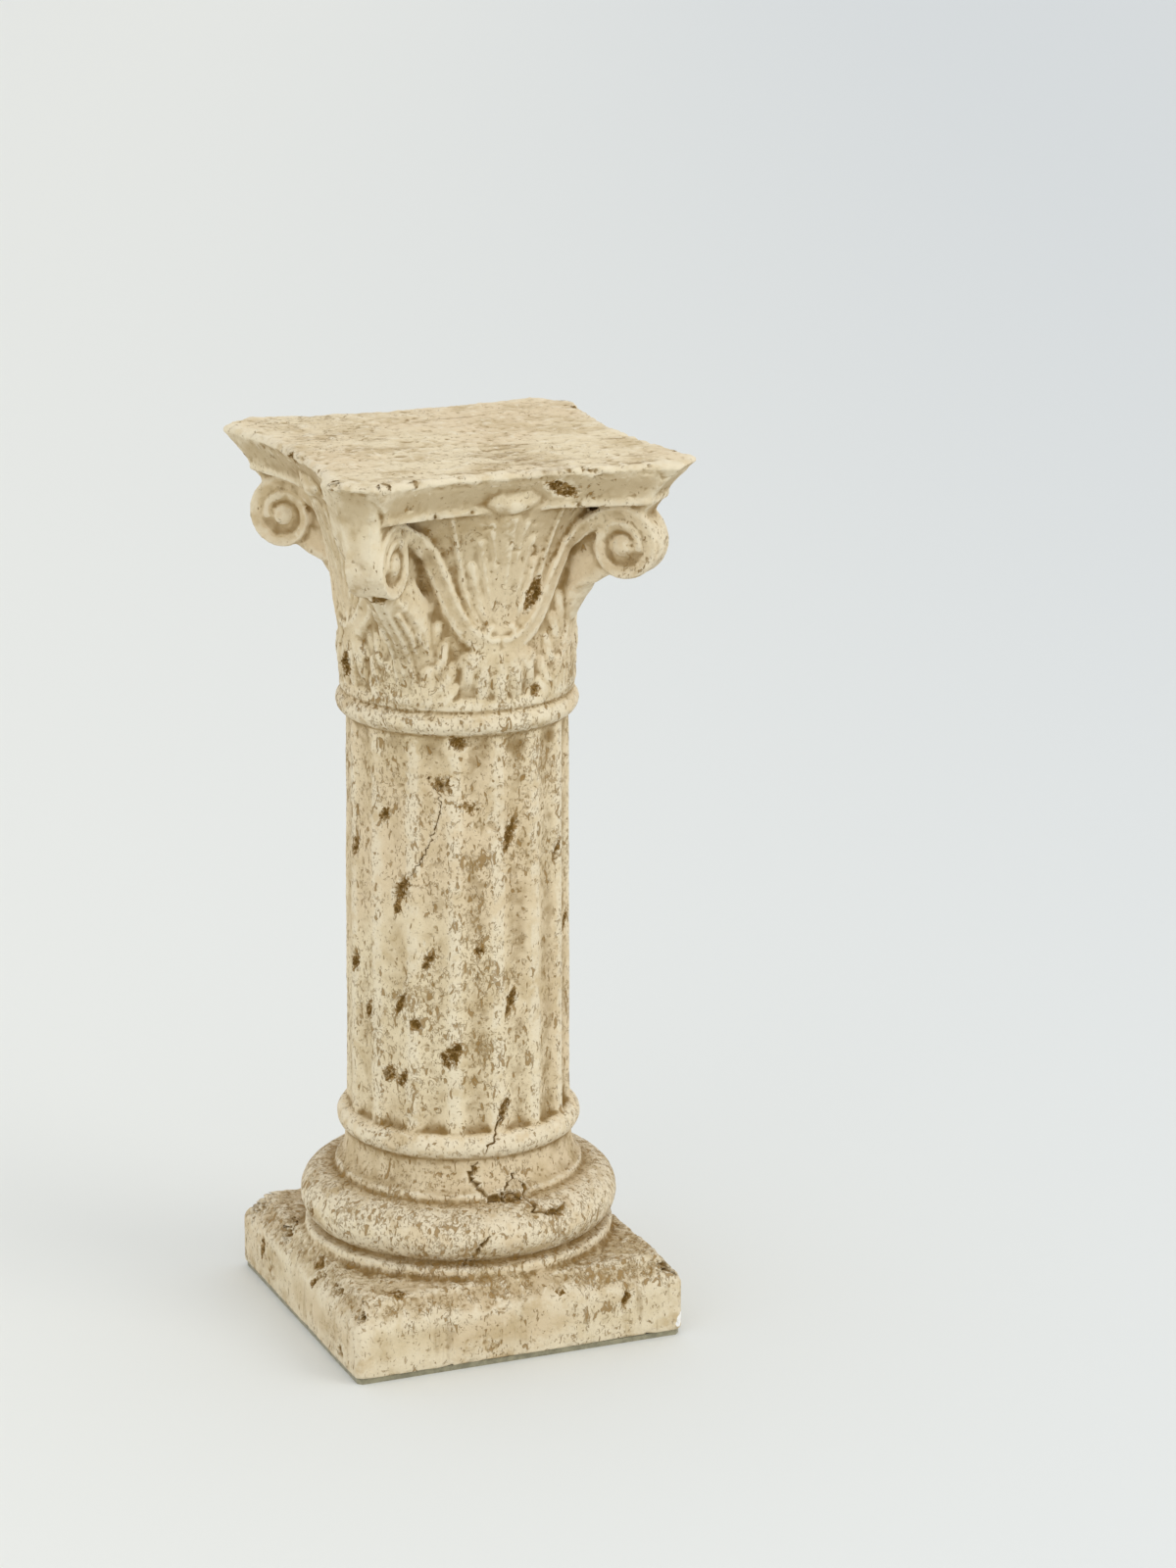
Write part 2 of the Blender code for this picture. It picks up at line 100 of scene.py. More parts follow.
FOOT_RADIUS = 78.5 * MM
LOWER_TORUS_RADIUS = 80.7 * MM
SCOTIA_LIP_RADIUS = 62.8 * MM
SCOTIA_NECK_RADIUS = 57.2 * MM
UPPER_TORUS_RADIUS = 61.7 * MM
SHAFT_FOOT_RADIUS = 56.5 * MM
SHAFT_HEAD_RADIUS = 55.4 * MM
ASTRAGAL_RADIUS = 60.5 * MM
BELL_RADIUS = 57.0 * MM
BELL_LIP_RADIUS = 74.5 * MM
SOFFIT_HALF = ABACUS_HALF - 10.5 * MM
CORNER_CUT = 16.6 * MM
ABACUS_HOLLOW = 10.0 * MM
print("shaft from", round(SHAFT_FOOT, 4), "to", round(SHAFT_HEAD, 4), "bell up to", round(SOFFIT, 4))

# %% [markdown]
# ## Ways to place things
#
# Most of this object is worked from its upright axis, so points are given as an angle round
# that axis, a height and a distance out. The angle is counted from the front, where the camera
# stands, and grows towards the right. The capital's bell has its own helper, because all the
# carving lies on it.

# %% Places on the column
def around(degrees, reach, z):
    """A point at an angle from the front, a distance out from the axis, and a height."""
    angle = math.radians(degrees)
    return Vector((reach * math.sin(angle), -reach * math.cos(angle), z))


def bell_z(share):
    """The height at a share of the bell's own height."""
    return BELL_FOOT + share * (SOFFIT - BELL_FOOT)


def bell_radius(z):
    share = max(0.0, (z - BELL_FOOT) / (SOFFIT - BELL_FOOT))
    return BELL_RADIUS + (BELL_LIP_RADIUS - BELL_RADIUS) * share**3


def on_bell(degrees, share, lift):
    """A point on the bell, at an angle and a share of its height, lifted off its surface."""
    z = bell_z(share)
    return around(degrees, bell_radius(z) + lift, z)


def on_diagonal(corner, reach, aside, z):
    """A point out along the diagonal through a corner, and some way to the side of it."""
    angle = math.radians(corner)
    sideways = Vector((math.cos(angle), math.sin(angle), 0))
    return around(corner, reach, z) + sideways * aside


# %% [markdown]
# ## Ways to make solids
#
# Everything here starts as rings of points, joined ring to ring and closed at both ends. The
# same helper then serves the turned mouldings, the square slabs and every leaf rib, because
# only the rings differ. All of it goes into one mesh, `clay`, as overlapping closed lumps.

# %% Lumps of clay
clay = bmesh.new()


def add_rings(rings):
    """Adds one closed lump through rings of points, which all have the same number of points."""
    loops = [[clay.verts.new(point) for point in ring] for ring in rings]
    count = len(loops[0])
    made = []
    for low, high in zip(loops, loops[1:]):
        for i in range(count):
            j = (i + 1) % count
            made.append(clay.faces.new((low[i], low[j], high[j], high[i])))
    made.append(clay.faces.new(list(reversed(loops[0]))))
    made.append(clay.faces.new(loops[-1]))
    bmesh.ops.recalc_face_normals(clay, faces=made)


def add_turned(profile, steps=128):
    """Adds a solid of revolution through (radius, height) points."""
    turns = [360 * i / steps for i in range(steps)]
    add_rings([[around(turn, radius, z) for turn in turns] for radius, z in profile])


def add_square(levels, cut, hollow, steps):
    """Adds a slab through (half width, height) levels, with cut corners and hollowed sides."""
    rings = []
    for half, z in levels:
        reach = half - cut
        ring = []
        for side in range(4):
            for i in range(steps + 1):
                t = 2 * i / steps - 1
                bow = hollow * (1 - t * t)
                ring.append(on_diagonal(90 * side, half - bow, reach * t, z))
        rings.append(ring)
    add_rings(rings)


def add_rod(path, radii, facing=None, flat=1.0, sides=8):
    """Adds a rod along a path, with a round end; flat squashes it along the way it faces."""
    ahead = (path[-1] - path[-2]).normalized()
    path = path + [path[-1] + ahead * radii[-1] * out for out in (0.5, 0.8, 0.95)]
    radii = radii + [radii[-1] * share for share in (0.86, 0.6, 0.25)]
    rings = []
    normal = facing or Vector((path[0].x, path[0].y, 0))
    last = len(path) - 1
    for i, place in enumerate(path):
        ahead = (path[min(i + 1, last)] - path[max(i - 1, 0)]).normalized()
        normal = (normal - ahead * normal.dot(ahead)).normalized()
        across = ahead.cross(normal)
        ring = []
        for k in range(sides):
            angle = 2 * math.pi * k / sides
            ring.append(place + (across * math.cos(angle) + normal * math.sin(angle) * flat) * radii[i])
        rings.append(ring)
    add_rings(rings)


def rounded(radius, foot, head, steps=16):
    """A half-round moulding, as (radius, height) points from its foot to its head."""
    half = (head - foot) / 2
    turns = [math.pi * (i / steps - 0.5) for i in range(steps + 1)]
    return [(radius - half + half * math.cos(t), (head + foot) / 2 + half * math.sin(t)) for t in turns]


# %% [markdown]
# ## Ways to build node trees
#
# What follows a rule is left to Geometry Nodes, and the colours to shader nodes. Both kinds of
# tree are written the same way: each step adds one node, links what it is given, and hands its
# output on. An input is set through its socket's identifier, before the tree first runs.

# %% Node and object helpers
GEOMETRY = ("Geometry", "NodeSocketGeometry")
VECTOR = ("Vector", "NodeSocketVector")
FINISH = ("Finish", "NodeSocketMaterial")


def floats(*names):
    """Sockets that hold a number each."""
    return [(name, "NodeSocketFloat") for name in names]


def new_tree(name, kind, inputs, outputs):
    """A node tree with named sockets, with its input and output nodes."""
    tree = bpy.data.node_groups.new(name, kind)
    for socket, socket_kind in inputs:
        tree.interface.new_socket(socket, in_out="INPUT", socket_type=socket_kind)
    for socket, socket_kind in outputs:
        tree.interface.new_socket(socket, in_out="OUTPUT", socket_type=socket_kind)
    return tree, tree.nodes.new("NodeGroupInput"), tree.nodes.new("NodeGroupOutput")


def linked(tree, kind, settings=None, **sockets):
    """Adds a node; each named socket gets a value, or a link if it is given another's output."""
    node = tree.nodes.new(kind)
    for name, value in (settings or {}).items():
        setattr(node, name, value)
    for name, value in sockets.items():
        # A socket is named, with _ for a space, or numbered, as in i0.
        socket = node.inputs[int(name[1:]) if name[1:].isdigit() else name.replace("_", " ")]
        if isinstance(value, bpy.types.NodeSocket):
            tree.links.new(value, socket)
        else:
            socket.default_value = value
    return node


def sums(tree, operation, a, b=0.0, c=None, clamp=False):
    """One step of arithmetic; returns its output."""
    inputs = {"i0": a, "i1": b}
    if c is not None:
        inputs["i2"] = c
    return linked(tree, "ShaderNodeMath", {"operation": operation, "use_clamp": clamp}, **inputs).outputs[0]


def ramp(tree, value, low, high, to_low=0.0, to_high=1.0):
    """A smooth step from one value to another."""
    settings = {"interpolation_type": "SMOOTHSTEP"}
    sockets = {"Value": value, "From_Min": low, "From_Max": high, "To_Min": to_low, "To_Max": to_high}
    return linked(tree, "ShaderNodeMapRange", settings, **sockets).outputs["Result"]


def noise_value(tree, vector, scale, detail, rough=0.55, distort=0.0, seed=0.0):
    """A noise about 0.5; another seed gives another pattern."""
    sockets = {"Vector": vector, "W": seed, "Scale": scale, "Detail": detail, "Roughness": rough}
    sockets["Distortion"] = distort
    return linked(tree, "ShaderNodeTexNoise", {"noise_dimensions": "4D"}, **sockets).outputs[0]


def stretched(tree, place, stretch):
    """A place with each coordinate multiplied, which squeezes the pattern that is read there."""
    return linked(tree, "ShaderNodeVectorMath", {"operation": "MULTIPLY"}, i0=place, i1=stretch).outputs[0]


def finished(tree, geometry, material, result):
    """Ends a tree: real geometry, with its material."""
    real = linked(tree, "GeometryNodeRealizeInstances", None, Geometry=geometry).outputs[0]
    dressed = linked(tree, "GeometryNodeSetMaterial", None, Geometry=real, Material=material).outputs[0]
    tree.links.new(dressed, result.inputs["Geometry"])


def socket_id(tree, name):
    """The identifier that a modifier knows an input by."""
    for item in tree.interface.items_tree:
        if item.item_type == "SOCKET" and item.in_out == "INPUT" and item.name == name:
            return item.identifier
    raise KeyError(name)


def placed(name, data):
    """An object in the scene that shows a mesh, or holds a lamp or a camera."""
    made = bpy.data.objects.new(name, data)
    scene.collection.objects.link(made)
    return made


def applied(obj, name):
    """A plain mesh of an object as its modifiers leave it; the object itself is removed."""
    depsgraph = bpy.context.evaluated_depsgraph_get()
    mesh = bpy.data.meshes.new_from_object(obj.evaluated_get(depsgraph))
    mesh.name = name
    bpy.data.objects.remove(obj, do_unlink=True)
    return mesh


def carrier_of(name, tree, values, mesh=None):
    """An object with a Geometry Nodes tree as its modifier, and the tree's inputs set."""
    carrier = placed(name, mesh or bpy.data.meshes.new(name))
    modifier = carrier.modifiers.new(name, "NODES")
    modifier.node_group = tree
    for socket, value in values.items():
        modifier[socket_id(tree, socket)] = value
    return carrier


def grown(name, tree, values, mesh=None):
    """What a Geometry Nodes tree makes with these inputs, as a plain mesh."""
    return applied(carrier_of(name, tree, values, mesh), name)


plaster = bpy.data.materials.new("aged cast plaster")

# %% [markdown]
# ## Plinth
#
# The plinth is a square slab. Its top edge is worn back to a ragged slope all round, with the
# flat of the slab left inside it. A few levels are enough, because the weathering further down
# roughens them.

# %% Plinth
WORN_TOP = [(0.0, -38.5), (-0.2, -37.9), (0.0, -36.0), (0.0, -14.0), (-0.5, -11.5), (-2.6, -8.0)]
WORN_TOP += [(-5.6, -4.4), (-7.4, -1.6), (-8.4, -0.4), (-9.6, 0.0)]
plinth_levels = [(PLINTH_HALF + out * MM, PLINTH_TOP + up * MM) for out, up in WORN_TOP]
add_square(plinth_levels, 2.4 * MM, 0.0, 24)
print("plinth", round(2 * PLINTH_HALF, 4), "wide and", round(PLINTH_TOP - STONE_FOOT, 4), "high")

# %% [markdown]
# ## Moulded base
#
# The base is turned: a fillet, a fat half-round torus, a hollow scotia and a thin torus. In the
# mould these were profiles scraped round a post, so one list of points from foot to head, swept
# round the axis, is the natural way to make them.

# %% Moulded base
base_profile = [(FOOT_RADIUS, PLINTH_TOP - 5 * MM), (FOOT_RADIUS, FOOT_TOP - 1.6 * MM)]
base_profile += [(FOOT_RADIUS - 0.8 * MM, FOOT_TOP - 0.4 * MM)]
base_profile += rounded(LOWER_TORUS_RADIUS, FOOT_TOP, LOWER_TORUS_TOP)
base_profile += [(SCOTIA_LIP_RADIUS, LOWER_TORUS_TOP + 0.3 * MM)]
base_profile += [(SCOTIA_LIP_RADIUS, SCOTIA_LIP_TOP - 1 * MM)]
for i in range(12):
    t = math.pi / 2 * i / 11
    radius = SCOTIA_NECK_RADIUS + (SCOTIA_LIP_RADIUS - SCOTIA_NECK_RADIUS) * (1 - math.sin(t))
    base_profile.append((radius, SCOTIA_LIP_TOP + (SCOTIA_TOP - SCOTIA_LIP_TOP) * (1 - math.cos(t))))
base_profile += rounded(UPPER_TORUS_RADIUS, SCOTIA_TOP, SHAFT_FOOT)[1:]
base_profile += [(SHAFT_HEAD_RADIUS - 8 * MM, SHAFT_FOOT + 0.2 * MM)]
add_turned(base_profile)
print("base profile has", len(base_profile), "points")

# %% [markdown]
# ## Fluted shaft
#
# Sixteen shallow flutes run the whole length, and die out just under the ring at the top. At
# the foot they run on into the thin torus, so that the two meet in a scalloped line. The flutes
# on the left are worn to about half their depth. One could cut each flute with a long round bar,
# but one rule gives every point of such a shaft its distance from the axis, so a tree takes a
# plain cylinder and moves its points by that rule, with the wear as one more input.

# %% Fluted shaft tree
POINTS_PER_FLUTE = 14.0
SHAFT_STEPS = 96
# How far the shaft runs into the mouldings below and above it
SINK_FOOT = 5 * MM
SINK_HEAD = 4.5 * MM
# The power that rounds a flute's floor, and how it fades out under the ring
FLUTE_ROUND = 2.2
FADE_LENGTH = 8 * MM
FADE_SHARE = 0.2


def fluted_tree():
    inputs = floats("Foot", "Head", "Foot Radius", "Head Radius", "Flute Depth", "Arris Share")
    inputs += floats("Wear", "Sharp Side") + [("Flutes", "NodeSocketInt"), FINISH]
    tree, given, result = new_tree("fluted shaft", "GeometryNodeTree", inputs, [GEOMETRY])
    value = given.outputs
    sides = sums(tree, "MULTIPLY", value["Flutes"], POINTS_PER_FLUTE)
    sizes = {"Vertices": sides, "Side_Segments": SHAFT_STEPS, "Radius": 1.0, "Depth": 1.0}
    rod = linked(tree, "GeometryNodeMeshCylinder", None, **sizes).outputs["Mesh"]
    place = linked(tree, "GeometryNodeInputPosition").outputs[0]
    x, y, z = linked(tree, "ShaderNodeSeparateXYZ", None, Vector=place).outputs
    low = sums(tree, "SUBTRACT", value["Foot"], SINK_FOOT)
    high = sums(tree, "ADD", value["Head"], SINK_HEAD)
    stretch = {"From_Min": -0.5, "From_Max": 0.5, "To_Min": low, "To_Max": high}
    level = linked(tree, "ShaderNodeMapRange", None, Value=z, **stretch).outputs["Result"]

    angle = sums(tree, "ARCTAN2", x, sums(tree, "MULTIPLY", y, -1.0))
    flute = sums(tree, "MULTIPLY", sums(tree, "DIVIDE", angle, 2 * math.pi), value["Flutes"])
    off_middle = sums(tree, "ABSOLUTE", sums(tree, "SUBTRACT", sums(tree, "FRACT", flute), 0.5))
    half_width = sums(tree, "MULTIPLY", sums(tree, "SUBTRACT", 1.0, value["Arris Share"]), 0.5)
    across = sums(tree, "DIVIDE", off_middle, half_width, clamp=True)
    sunk = sums(tree, "SUBTRACT", 1.0, sums(tree, "POWER", across, FLUTE_ROUND))
    fade = ramp(tree, sums(tree, "SUBTRACT", value["Head"], level), FADE_LENGTH, -1 * MM, 1.0, FADE_SHARE)
    facing = sums(tree, "COSINE", sums(tree, "SUBTRACT", angle, value["Sharp Side"]))
    left = sums(tree, "MULTIPLY_ADD", sums(tree, "SUBTRACT", facing, 1.0), value["Wear"], 1.0)
    left = sums(tree, "MULTIPLY", left, value["Flute Depth"])
    depth = sums(tree, "MULTIPLY", sums(tree, "MULTIPLY", sunk, fade), left)

    taper = {"Value": level, "From_Min": value["Foot"], "From_Max": value["Head"]}
    taper |= {"To_Min": value["Foot Radius"], "To_Max": value["Head Radius"]}
    arris = linked(tree, "ShaderNodeMapRange", {"clamp": False}, **taper).outputs["Result"]
    radius = sums(tree, "SUBTRACT", arris, depth)
    x, y = sums(tree, "MULTIPLY", x, radius), sums(tree, "MULTIPLY", y, radius)
    spot = linked(tree, "ShaderNodeCombineXYZ", None, X=x, Y=y, Z=level).outputs[0]
    shaped = linked(tree, "GeometryNodeSetPosition", None, Geometry=rod, Position=spot).outputs[0]
    finished(tree, shaped, value["Finish"], result)
    return tree


# %% Fluted shaft
FLUTES = {"Flutes": 16, "Flute Depth": 3.0 * MM, "Arris Share": 0.20, "Finish": plaster}
FLUTES |= {"Foot": SHAFT_FOOT, "Head": SHAFT_HEAD}
FLUTES |= {"Foot Radius": SHAFT_FOOT_RADIUS, "Head Radius": SHAFT_HEAD_RADIUS}
FLUTES |= {"Wear": 0.26, "Sharp Side": math.radians(62)}
shaft = grown("fluted shaft", fluted_tree(), FLUTES)
print("shaft:", len(shaft.vertices), "points,", FLUTES["Flutes"], "flutes up to 3 mm deep")
clay.from_mesh(shaft)

# %% [markdown]
# ## Ring, bell and abacus
#
# Above the shaft come a half-round ring and the bell, which flares at its lip. The abacus on
# top is a square with its corners cut and its sides bowed inwards. Its edge slopes out from
# the soffit to a square fillet.

# %% Ring, bell and abacus
capital_profile = [(SHAFT_HEAD_RADIUS - 8 * MM, SHAFT_HEAD - 0.2 * MM)]
capital_profile += rounded(ASTRAGAL_RADIUS, SHAFT_HEAD, BELL_FOOT)
capital_profile += [(58.6 * MM, BELL_FOOT + 0.6 * MM), (58.4 * MM, BELL_FOOT + 4.6 * MM)]
capital_profile += [(bell_radius(bell_z(i / 14)), bell_z(i / 14)) for i in range(1, 15)]
capital_profile += [(BELL_LIP_RADIUS, SOFFIT + 6 * MM)]
add_turned(capital_profile)

EDGE = [(0.0, 0.0), (0.4, 4.4), (1.6, 6.8), (3.4, 9.6), (5.6, 12.6), (7.6, 15.2), (8.2, 16.6)]
EDGE += [(8.0, 17.2), (9.8, 18.0), (10.5, 18.9), (10.2, 20.2), (9.0, 21.4), (6.5, 22.0)]
abacus_levels = [(SOFFIT_HALF + out * MM, SOFFIT + up * MM) for out, up in EDGE]
add_square(abacus_levels, CORNER_CUT, ABACUS_HOLLOW, 32)
print("abacus", round(2 * ABACUS_HALF, 4), "across its corners' flats")

# The mouldings are set aside, so that the clay can hold one quarter of the carving alone.
plain_lumps = bpy.data.meshes.new("mouldings")
clay.to_mesh(plain_lumps)
clay.clear()

# %% [markdown]
# ## Volutes
#
# Under each corner of the abacus two scrolls back on to each other, so a volute is one thick
# disc. A turned disc would be too round: the real outline shrinks as it rolls in, so it is
# drawn as a spiral and given its thickness. A web fills the space between it and the bell, and
# a neck the space under the abacus.

# %% Volute discs and webs
VOLUTE_RADIUS = 19.8 * MM
VOLUTE_SHRINK = 7.7 * MM
VOLUTE_HALF = 7.5 * MM
VOLUTE_DROP = 2.2 * MM
VOLUTE_TUCK = 0.84
DISC_TURNS = 0.56
SCROLL_TURNS = 1.28
# The web's outline as shares of the bell's radius and height, from its lowest point round
WEB = [(1.14, 0.545), (1.06, 0.47), (0.8, 0.47), (0.8, 0.74), (1.17, 0.86), (1.36, 0.955)]
# The neck, level by level: height in radii of the volute, then half width, and how far it
# reaches in and out from the volute's centre, in millimetres
NECK = [(0.55, 7.6, 8, 9), (0.95, 8.4, 12, 13), (1.12, 10.2, 12, 15.5), (1.35, 11, 14, 16)]
soffit_corner = (2 * SOFFIT_HALF - CORNER_CUT) / math.sqrt(2)
VOLUTE_REACH = soffit_corner - VOLUTE_TUCK * VOLUTE_RADIUS
VOLUTE_Z = SOFFIT - VOLUTE_RADIUS - VOLUTE_DROP


def scroll_point(turn, radius):
    """Distance out and height on the scroll, some turns on from its top, outwards and down."""
    angle = 2 * math.pi * turn
    return VOLUTE_REACH + radius * math.sin(angle), VOLUTE_Z + radius * math.cos(angle)


def add_volute(corner):
    """One disc with its web and neck; its two faces are slightly smaller than its middle."""
    turns = [DISC_TURNS * i / 24 for i in range(25)]
    outline = [scroll_point(turn, VOLUTE_RADIUS - VOLUTE_SHRINK * turn) for turn in turns]
    outline += [(0.5 * (VOLUTE_REACH + BELL_RADIUS) + 2 * MM, bell_z(0.585))]
    outline += [(out * BELL_RADIUS, bell_z(share)) for out, share in WEB]
    slices = [(-1.0, 0.965), (-0.8, 1.0), (0.8, 1.0), (1.0, 0.965)]
    rings = []
    for aside, swell in slices:
        ring = []
        for reach, z in outline:
            wide = VOLUTE_REACH + (reach - VOLUTE_REACH) * swell
            ring.append(on_diagonal(corner, wide, aside * VOLUTE_HALF, VOLUTE_Z + (z - VOLUTE_Z) * swell))
        rings.append(ring)
    add_rings(rings)
    neck = []
    for rise, half, near, far in NECK:
        level = VOLUTE_Z + rise * VOLUTE_RADIUS
        out, back = VOLUTE_REACH + far * MM, VOLUTE_REACH - near * MM
        side = half * MM
        spots = ((back, -side), (out, -side), (out, side), (back, side))
        neck.append([on_diagonal(corner, *spot, level) for spot in spots])
    add_rings(neck)


add_volute(45)
print("volutes", round(2 * VOLUTE_RADIUS, 4), "across, centred", round(VOLUTE_REACH, 4), "out")

# %% [markdown]
# ## Stems
#
# A flat stem climbs the bell on each side of a corner, leans out, arches over and rolls up into
# a scroll on the volute's face. It could be a curve with a bevel, but its width, thickness and
# facing all change on the way, so a section is swept through stations that hold all of them.

# %% Stems that roll up into the scrolls
# Shares of the bell's height, and degrees from the middle of the face
STEM_RISE = ((0.318, 1.5), (0.322, 5.0), (0.338, 9.0), (0.365, 13.0), (0.405, 17.0), (0.45, 20.0))
STEM_RISE += ((0.50, 22.6), (0.55, 24.7), (0.61, 26.8), (0.67, 28.7), (0.73, 30.6), (0.785, 32.4))
# Offsets across the band in widths, and lifts in its relief: a raised edge and a flat
BAND_SECTION = ((-0.52, -2.0), (-0.54, 0.5), (-0.47, 1.05), (-0.34, 1.15), (-0.20, 0.85), (0.05, 0.75))
BAND_SECTION += ((0.36, 0.70), (0.52, 0.35), (0.52, -2.0))
SCROLL_STEPS = 34
# The eye of a scroll: how far each ring stands off the volute's face, and its radius
EYE = ((-2.0, 5.0), (0.8, 5.0), (1.8, 4.2), (2.5, 2.6), (2.7, 1.0))


def stem_stations(corner, side):
    """Places along a stem and its scroll, each with its facing, width and relief."""
    middle = corner - 45 * side
    flank = on_diagonal(corner, 0, -side, 0)
    stations = []
    for share, turn in STEM_RISE:
        place = on_bell(middle + side * turn, share, 0.0)
        stations.append((place, Vector((place.x, place.y, 0)).normalized(), 9.4 * MM, 2.7 * MM))
    between = (stations[-1][1] + flank).normalized()
    aside = -side * VOLUTE_HALF
    leaning = on_diagonal(corner, 1.25 * BELL_RADIUS, 1.42 * aside, bell_z(0.862))
    stations.append((leaning, between, 8.4 * MM, 2.6 * MM))
    arching = on_diagonal(corner, 1.43 * BELL_RADIUS, 1.06 * aside, bell_z(0.928))
    stations.append((arching, flank, 6.9 * MM, 2.2 * MM))
    for i in range(SCROLL_STEPS + 1):
        turn = SCROLL_TURNS * i / SCROLL_STEPS
        width = (6.4 - 3.0 * i / SCROLL_STEPS) * MM
        reach, z = scroll_point(turn, VOLUTE_RADIUS - VOLUTE_SHRINK * turn - width / 2)
        stations.append((on_diagonal(corner, reach, aside, z), flank, width, 2.1 * MM))
    return stations


def add_band(stations, side):
    """Sweeps the band's section through the stations."""
    rings = []
    last = len(stations) - 1
    for i, (place, facing, width, relief) in enumerate(stations):
        ahead = (stations[min(i + 1, last)][0] - stations[max(i - 1, 0)][0]).normalized()
        normal = (facing - ahead * facing.dot(ahead)).normalized()
        across = ahead.cross(normal) * side
        ring = [place + across * offset * width + normal * lift * relief for offset, lift in BAND_SECTION]
        rings.append(ring)
    add_rings(rings)


def add_button(corner, side):
    """The eye of a scroll, a low dome."""
    rings = []
    for lift, radius in EYE:
        aside = -side * (VOLUTE_HALF + lift * MM)
        spots = [scroll_point(i / 16, radius * MM) for i in range(16)]
        rings.append([on_diagonal(corner, reach, aside, z) for reach, z in spots])
    add_rings(rings)


for side in (-1, 1):
    add_band(stem_stations(45, side), side)
    add_button(45, side)
print("a corner has 2 stems with", len(stem_stations(45, 1)), "stations each")

# %% [markdown]
# ## Leaves and palmettes
#
# A carver lays an acanthus leaf down as a low pad, then works its lobes as ribs with sunk
# valleys between them. Each rib here is a tapering rod that follows the bell. A lobe is a fan
# of three ribs, and one leaf is a list of lobes, mirrored on the leaf's midrib. Angles are
# counted from the midrib, and heights are shares of the bell.

# %% Ribs that lie on the bell
def smooth_path(stations, steps):
    """A smooth line through (degrees, share, lift) stations."""
    spots = [np.array(stations[0])] + [np.array(s) for s in stations] + [np.array(stations[-1])]
    path = []
    for a, b, c, d in zip(spots, spots[1:], spots[2:], spots[3:]):
        for i in range(steps):
            t = i / steps
            square = (2 * a - 5 * b + 4 * c - d) * t**2
            cube = (3 * b - a - 3 * c + d) * t**3
            path.append(0.5 * (2 * b + (c - a) * t + square + cube))
    return path + [spots[-1]]


def add_rib(middle, mirror, stations, thick, end=0.45, flat=0.8):
    """A rib on the bell, thickest halfway along and tapering to its end."""
    path = smooth_path(stations, 4)
    places = [on_bell(middle + mirror * turn, share, lift * MM) for turn, share, lift in path]
    radii = []
    for i in range(len(places)):
        along = i / (len(places) - 1)
        share = 0.75 + 0.5 * along if along < 0.5 else 1.0 - (1 - end) * (2 * along - 1) ** 2
        radii.append(thick * MM * share)
    add_rod(places, radii, flat=flat)


def add_lobe(middle, mirror, root, bend, tip, thick):
    """A leaf's lobe: a broad rounded finger with a low ridge, and a small one in its crook."""
    root, bend, tip = (np.array(spot) for spot in (root, bend, tip))
    add_rib(middle, mirror, [(*root, 0.0), (*bend, 0.7), (*tip, 0.5)], 1.35 * thick, end=0.62, flat=0.5)
    add_rib(middle, mirror, [(*root, 1.0), (*bend, 1.6), (*(0.15 * bend + 0.85 * tip), 1.3)], 0.5 * thick)
    crook = 0.45 * root + 0.55 * tip + np.array((2.6, -0.050))
    add_rib(middle, mirror, [(*root, 0.1), (*crook, 0.9)], 0.7 * thick, end=0.8)


# %% [markdown]
# ## Corner leaves
#
# A leaf stands under each volute. It has five lobes on each side, veins that draw
# together towards its tip, and a tip that leans out and carries the volute. The lobes are
# listed from the foot up, and the same list serves both sides of the leaf.

# %% Corner leaves
LEAF_LOBES = [
    # root, bend and tip as (degrees, share of the bell), then thickness in millimetres
    ((11.0, 0.05), (17.5, 0.060), (22.5, 0.125), 2.3),
    ((9.5, 0.09), (17.0, 0.125), (21.0, 0.220), 2.4),
    ((8.0, 0.17), (14.5, 0.225), (17.8, 0.330), 2.4),
    ((6.5, 0.27), (11.5, 0.335), (14.2, 0.430), 2.3),
    ((5.5, 0.38), (9.0, 0.440), (11.0, 0.525), 2.1),
]
# Degrees at the foot, share of the bell at the head, and thickness in millimetres
VEINS = [(0.0, 0.56, 1.5), (4.2, 0.52, 1.3), (8.4, 0.42, 1.2), (12.0, 0.30, 1.1)]


def add_pad(middle, outline, lift, columns=8):
    """A low pad on the bell under a leaf; the outline gives half widths at shares of height."""
    rings = []
    for share, half in outline:
        fronts, backs = [], []
        for c in range(columns + 1):
            u = 2 * c / columns - 1
            fronts.append(on_bell(middle + half * u, share, lift * MM * (1 - u**4)))
            backs.append(on_bell(middle + half * u, share, -4 * MM))
        rings.append(fronts + backs[::-1])
    add_rings(rings)


LEAF_OUTLINE = [(0.035, 21.5), (0.10, 21.0), (0.22, 18.5), (0.34, 15.5), (0.45, 12.5)]
LEAF_OUTLINE += [(0.55, 9.5), (0.62, 6.0)]
TIP_PATH = [(57, 0.36), (60, 0.44), (63.5, 0.51), (68, 0.56)]
TIP_HALVES = [5.0, 6.5, 7.0, 6.0]


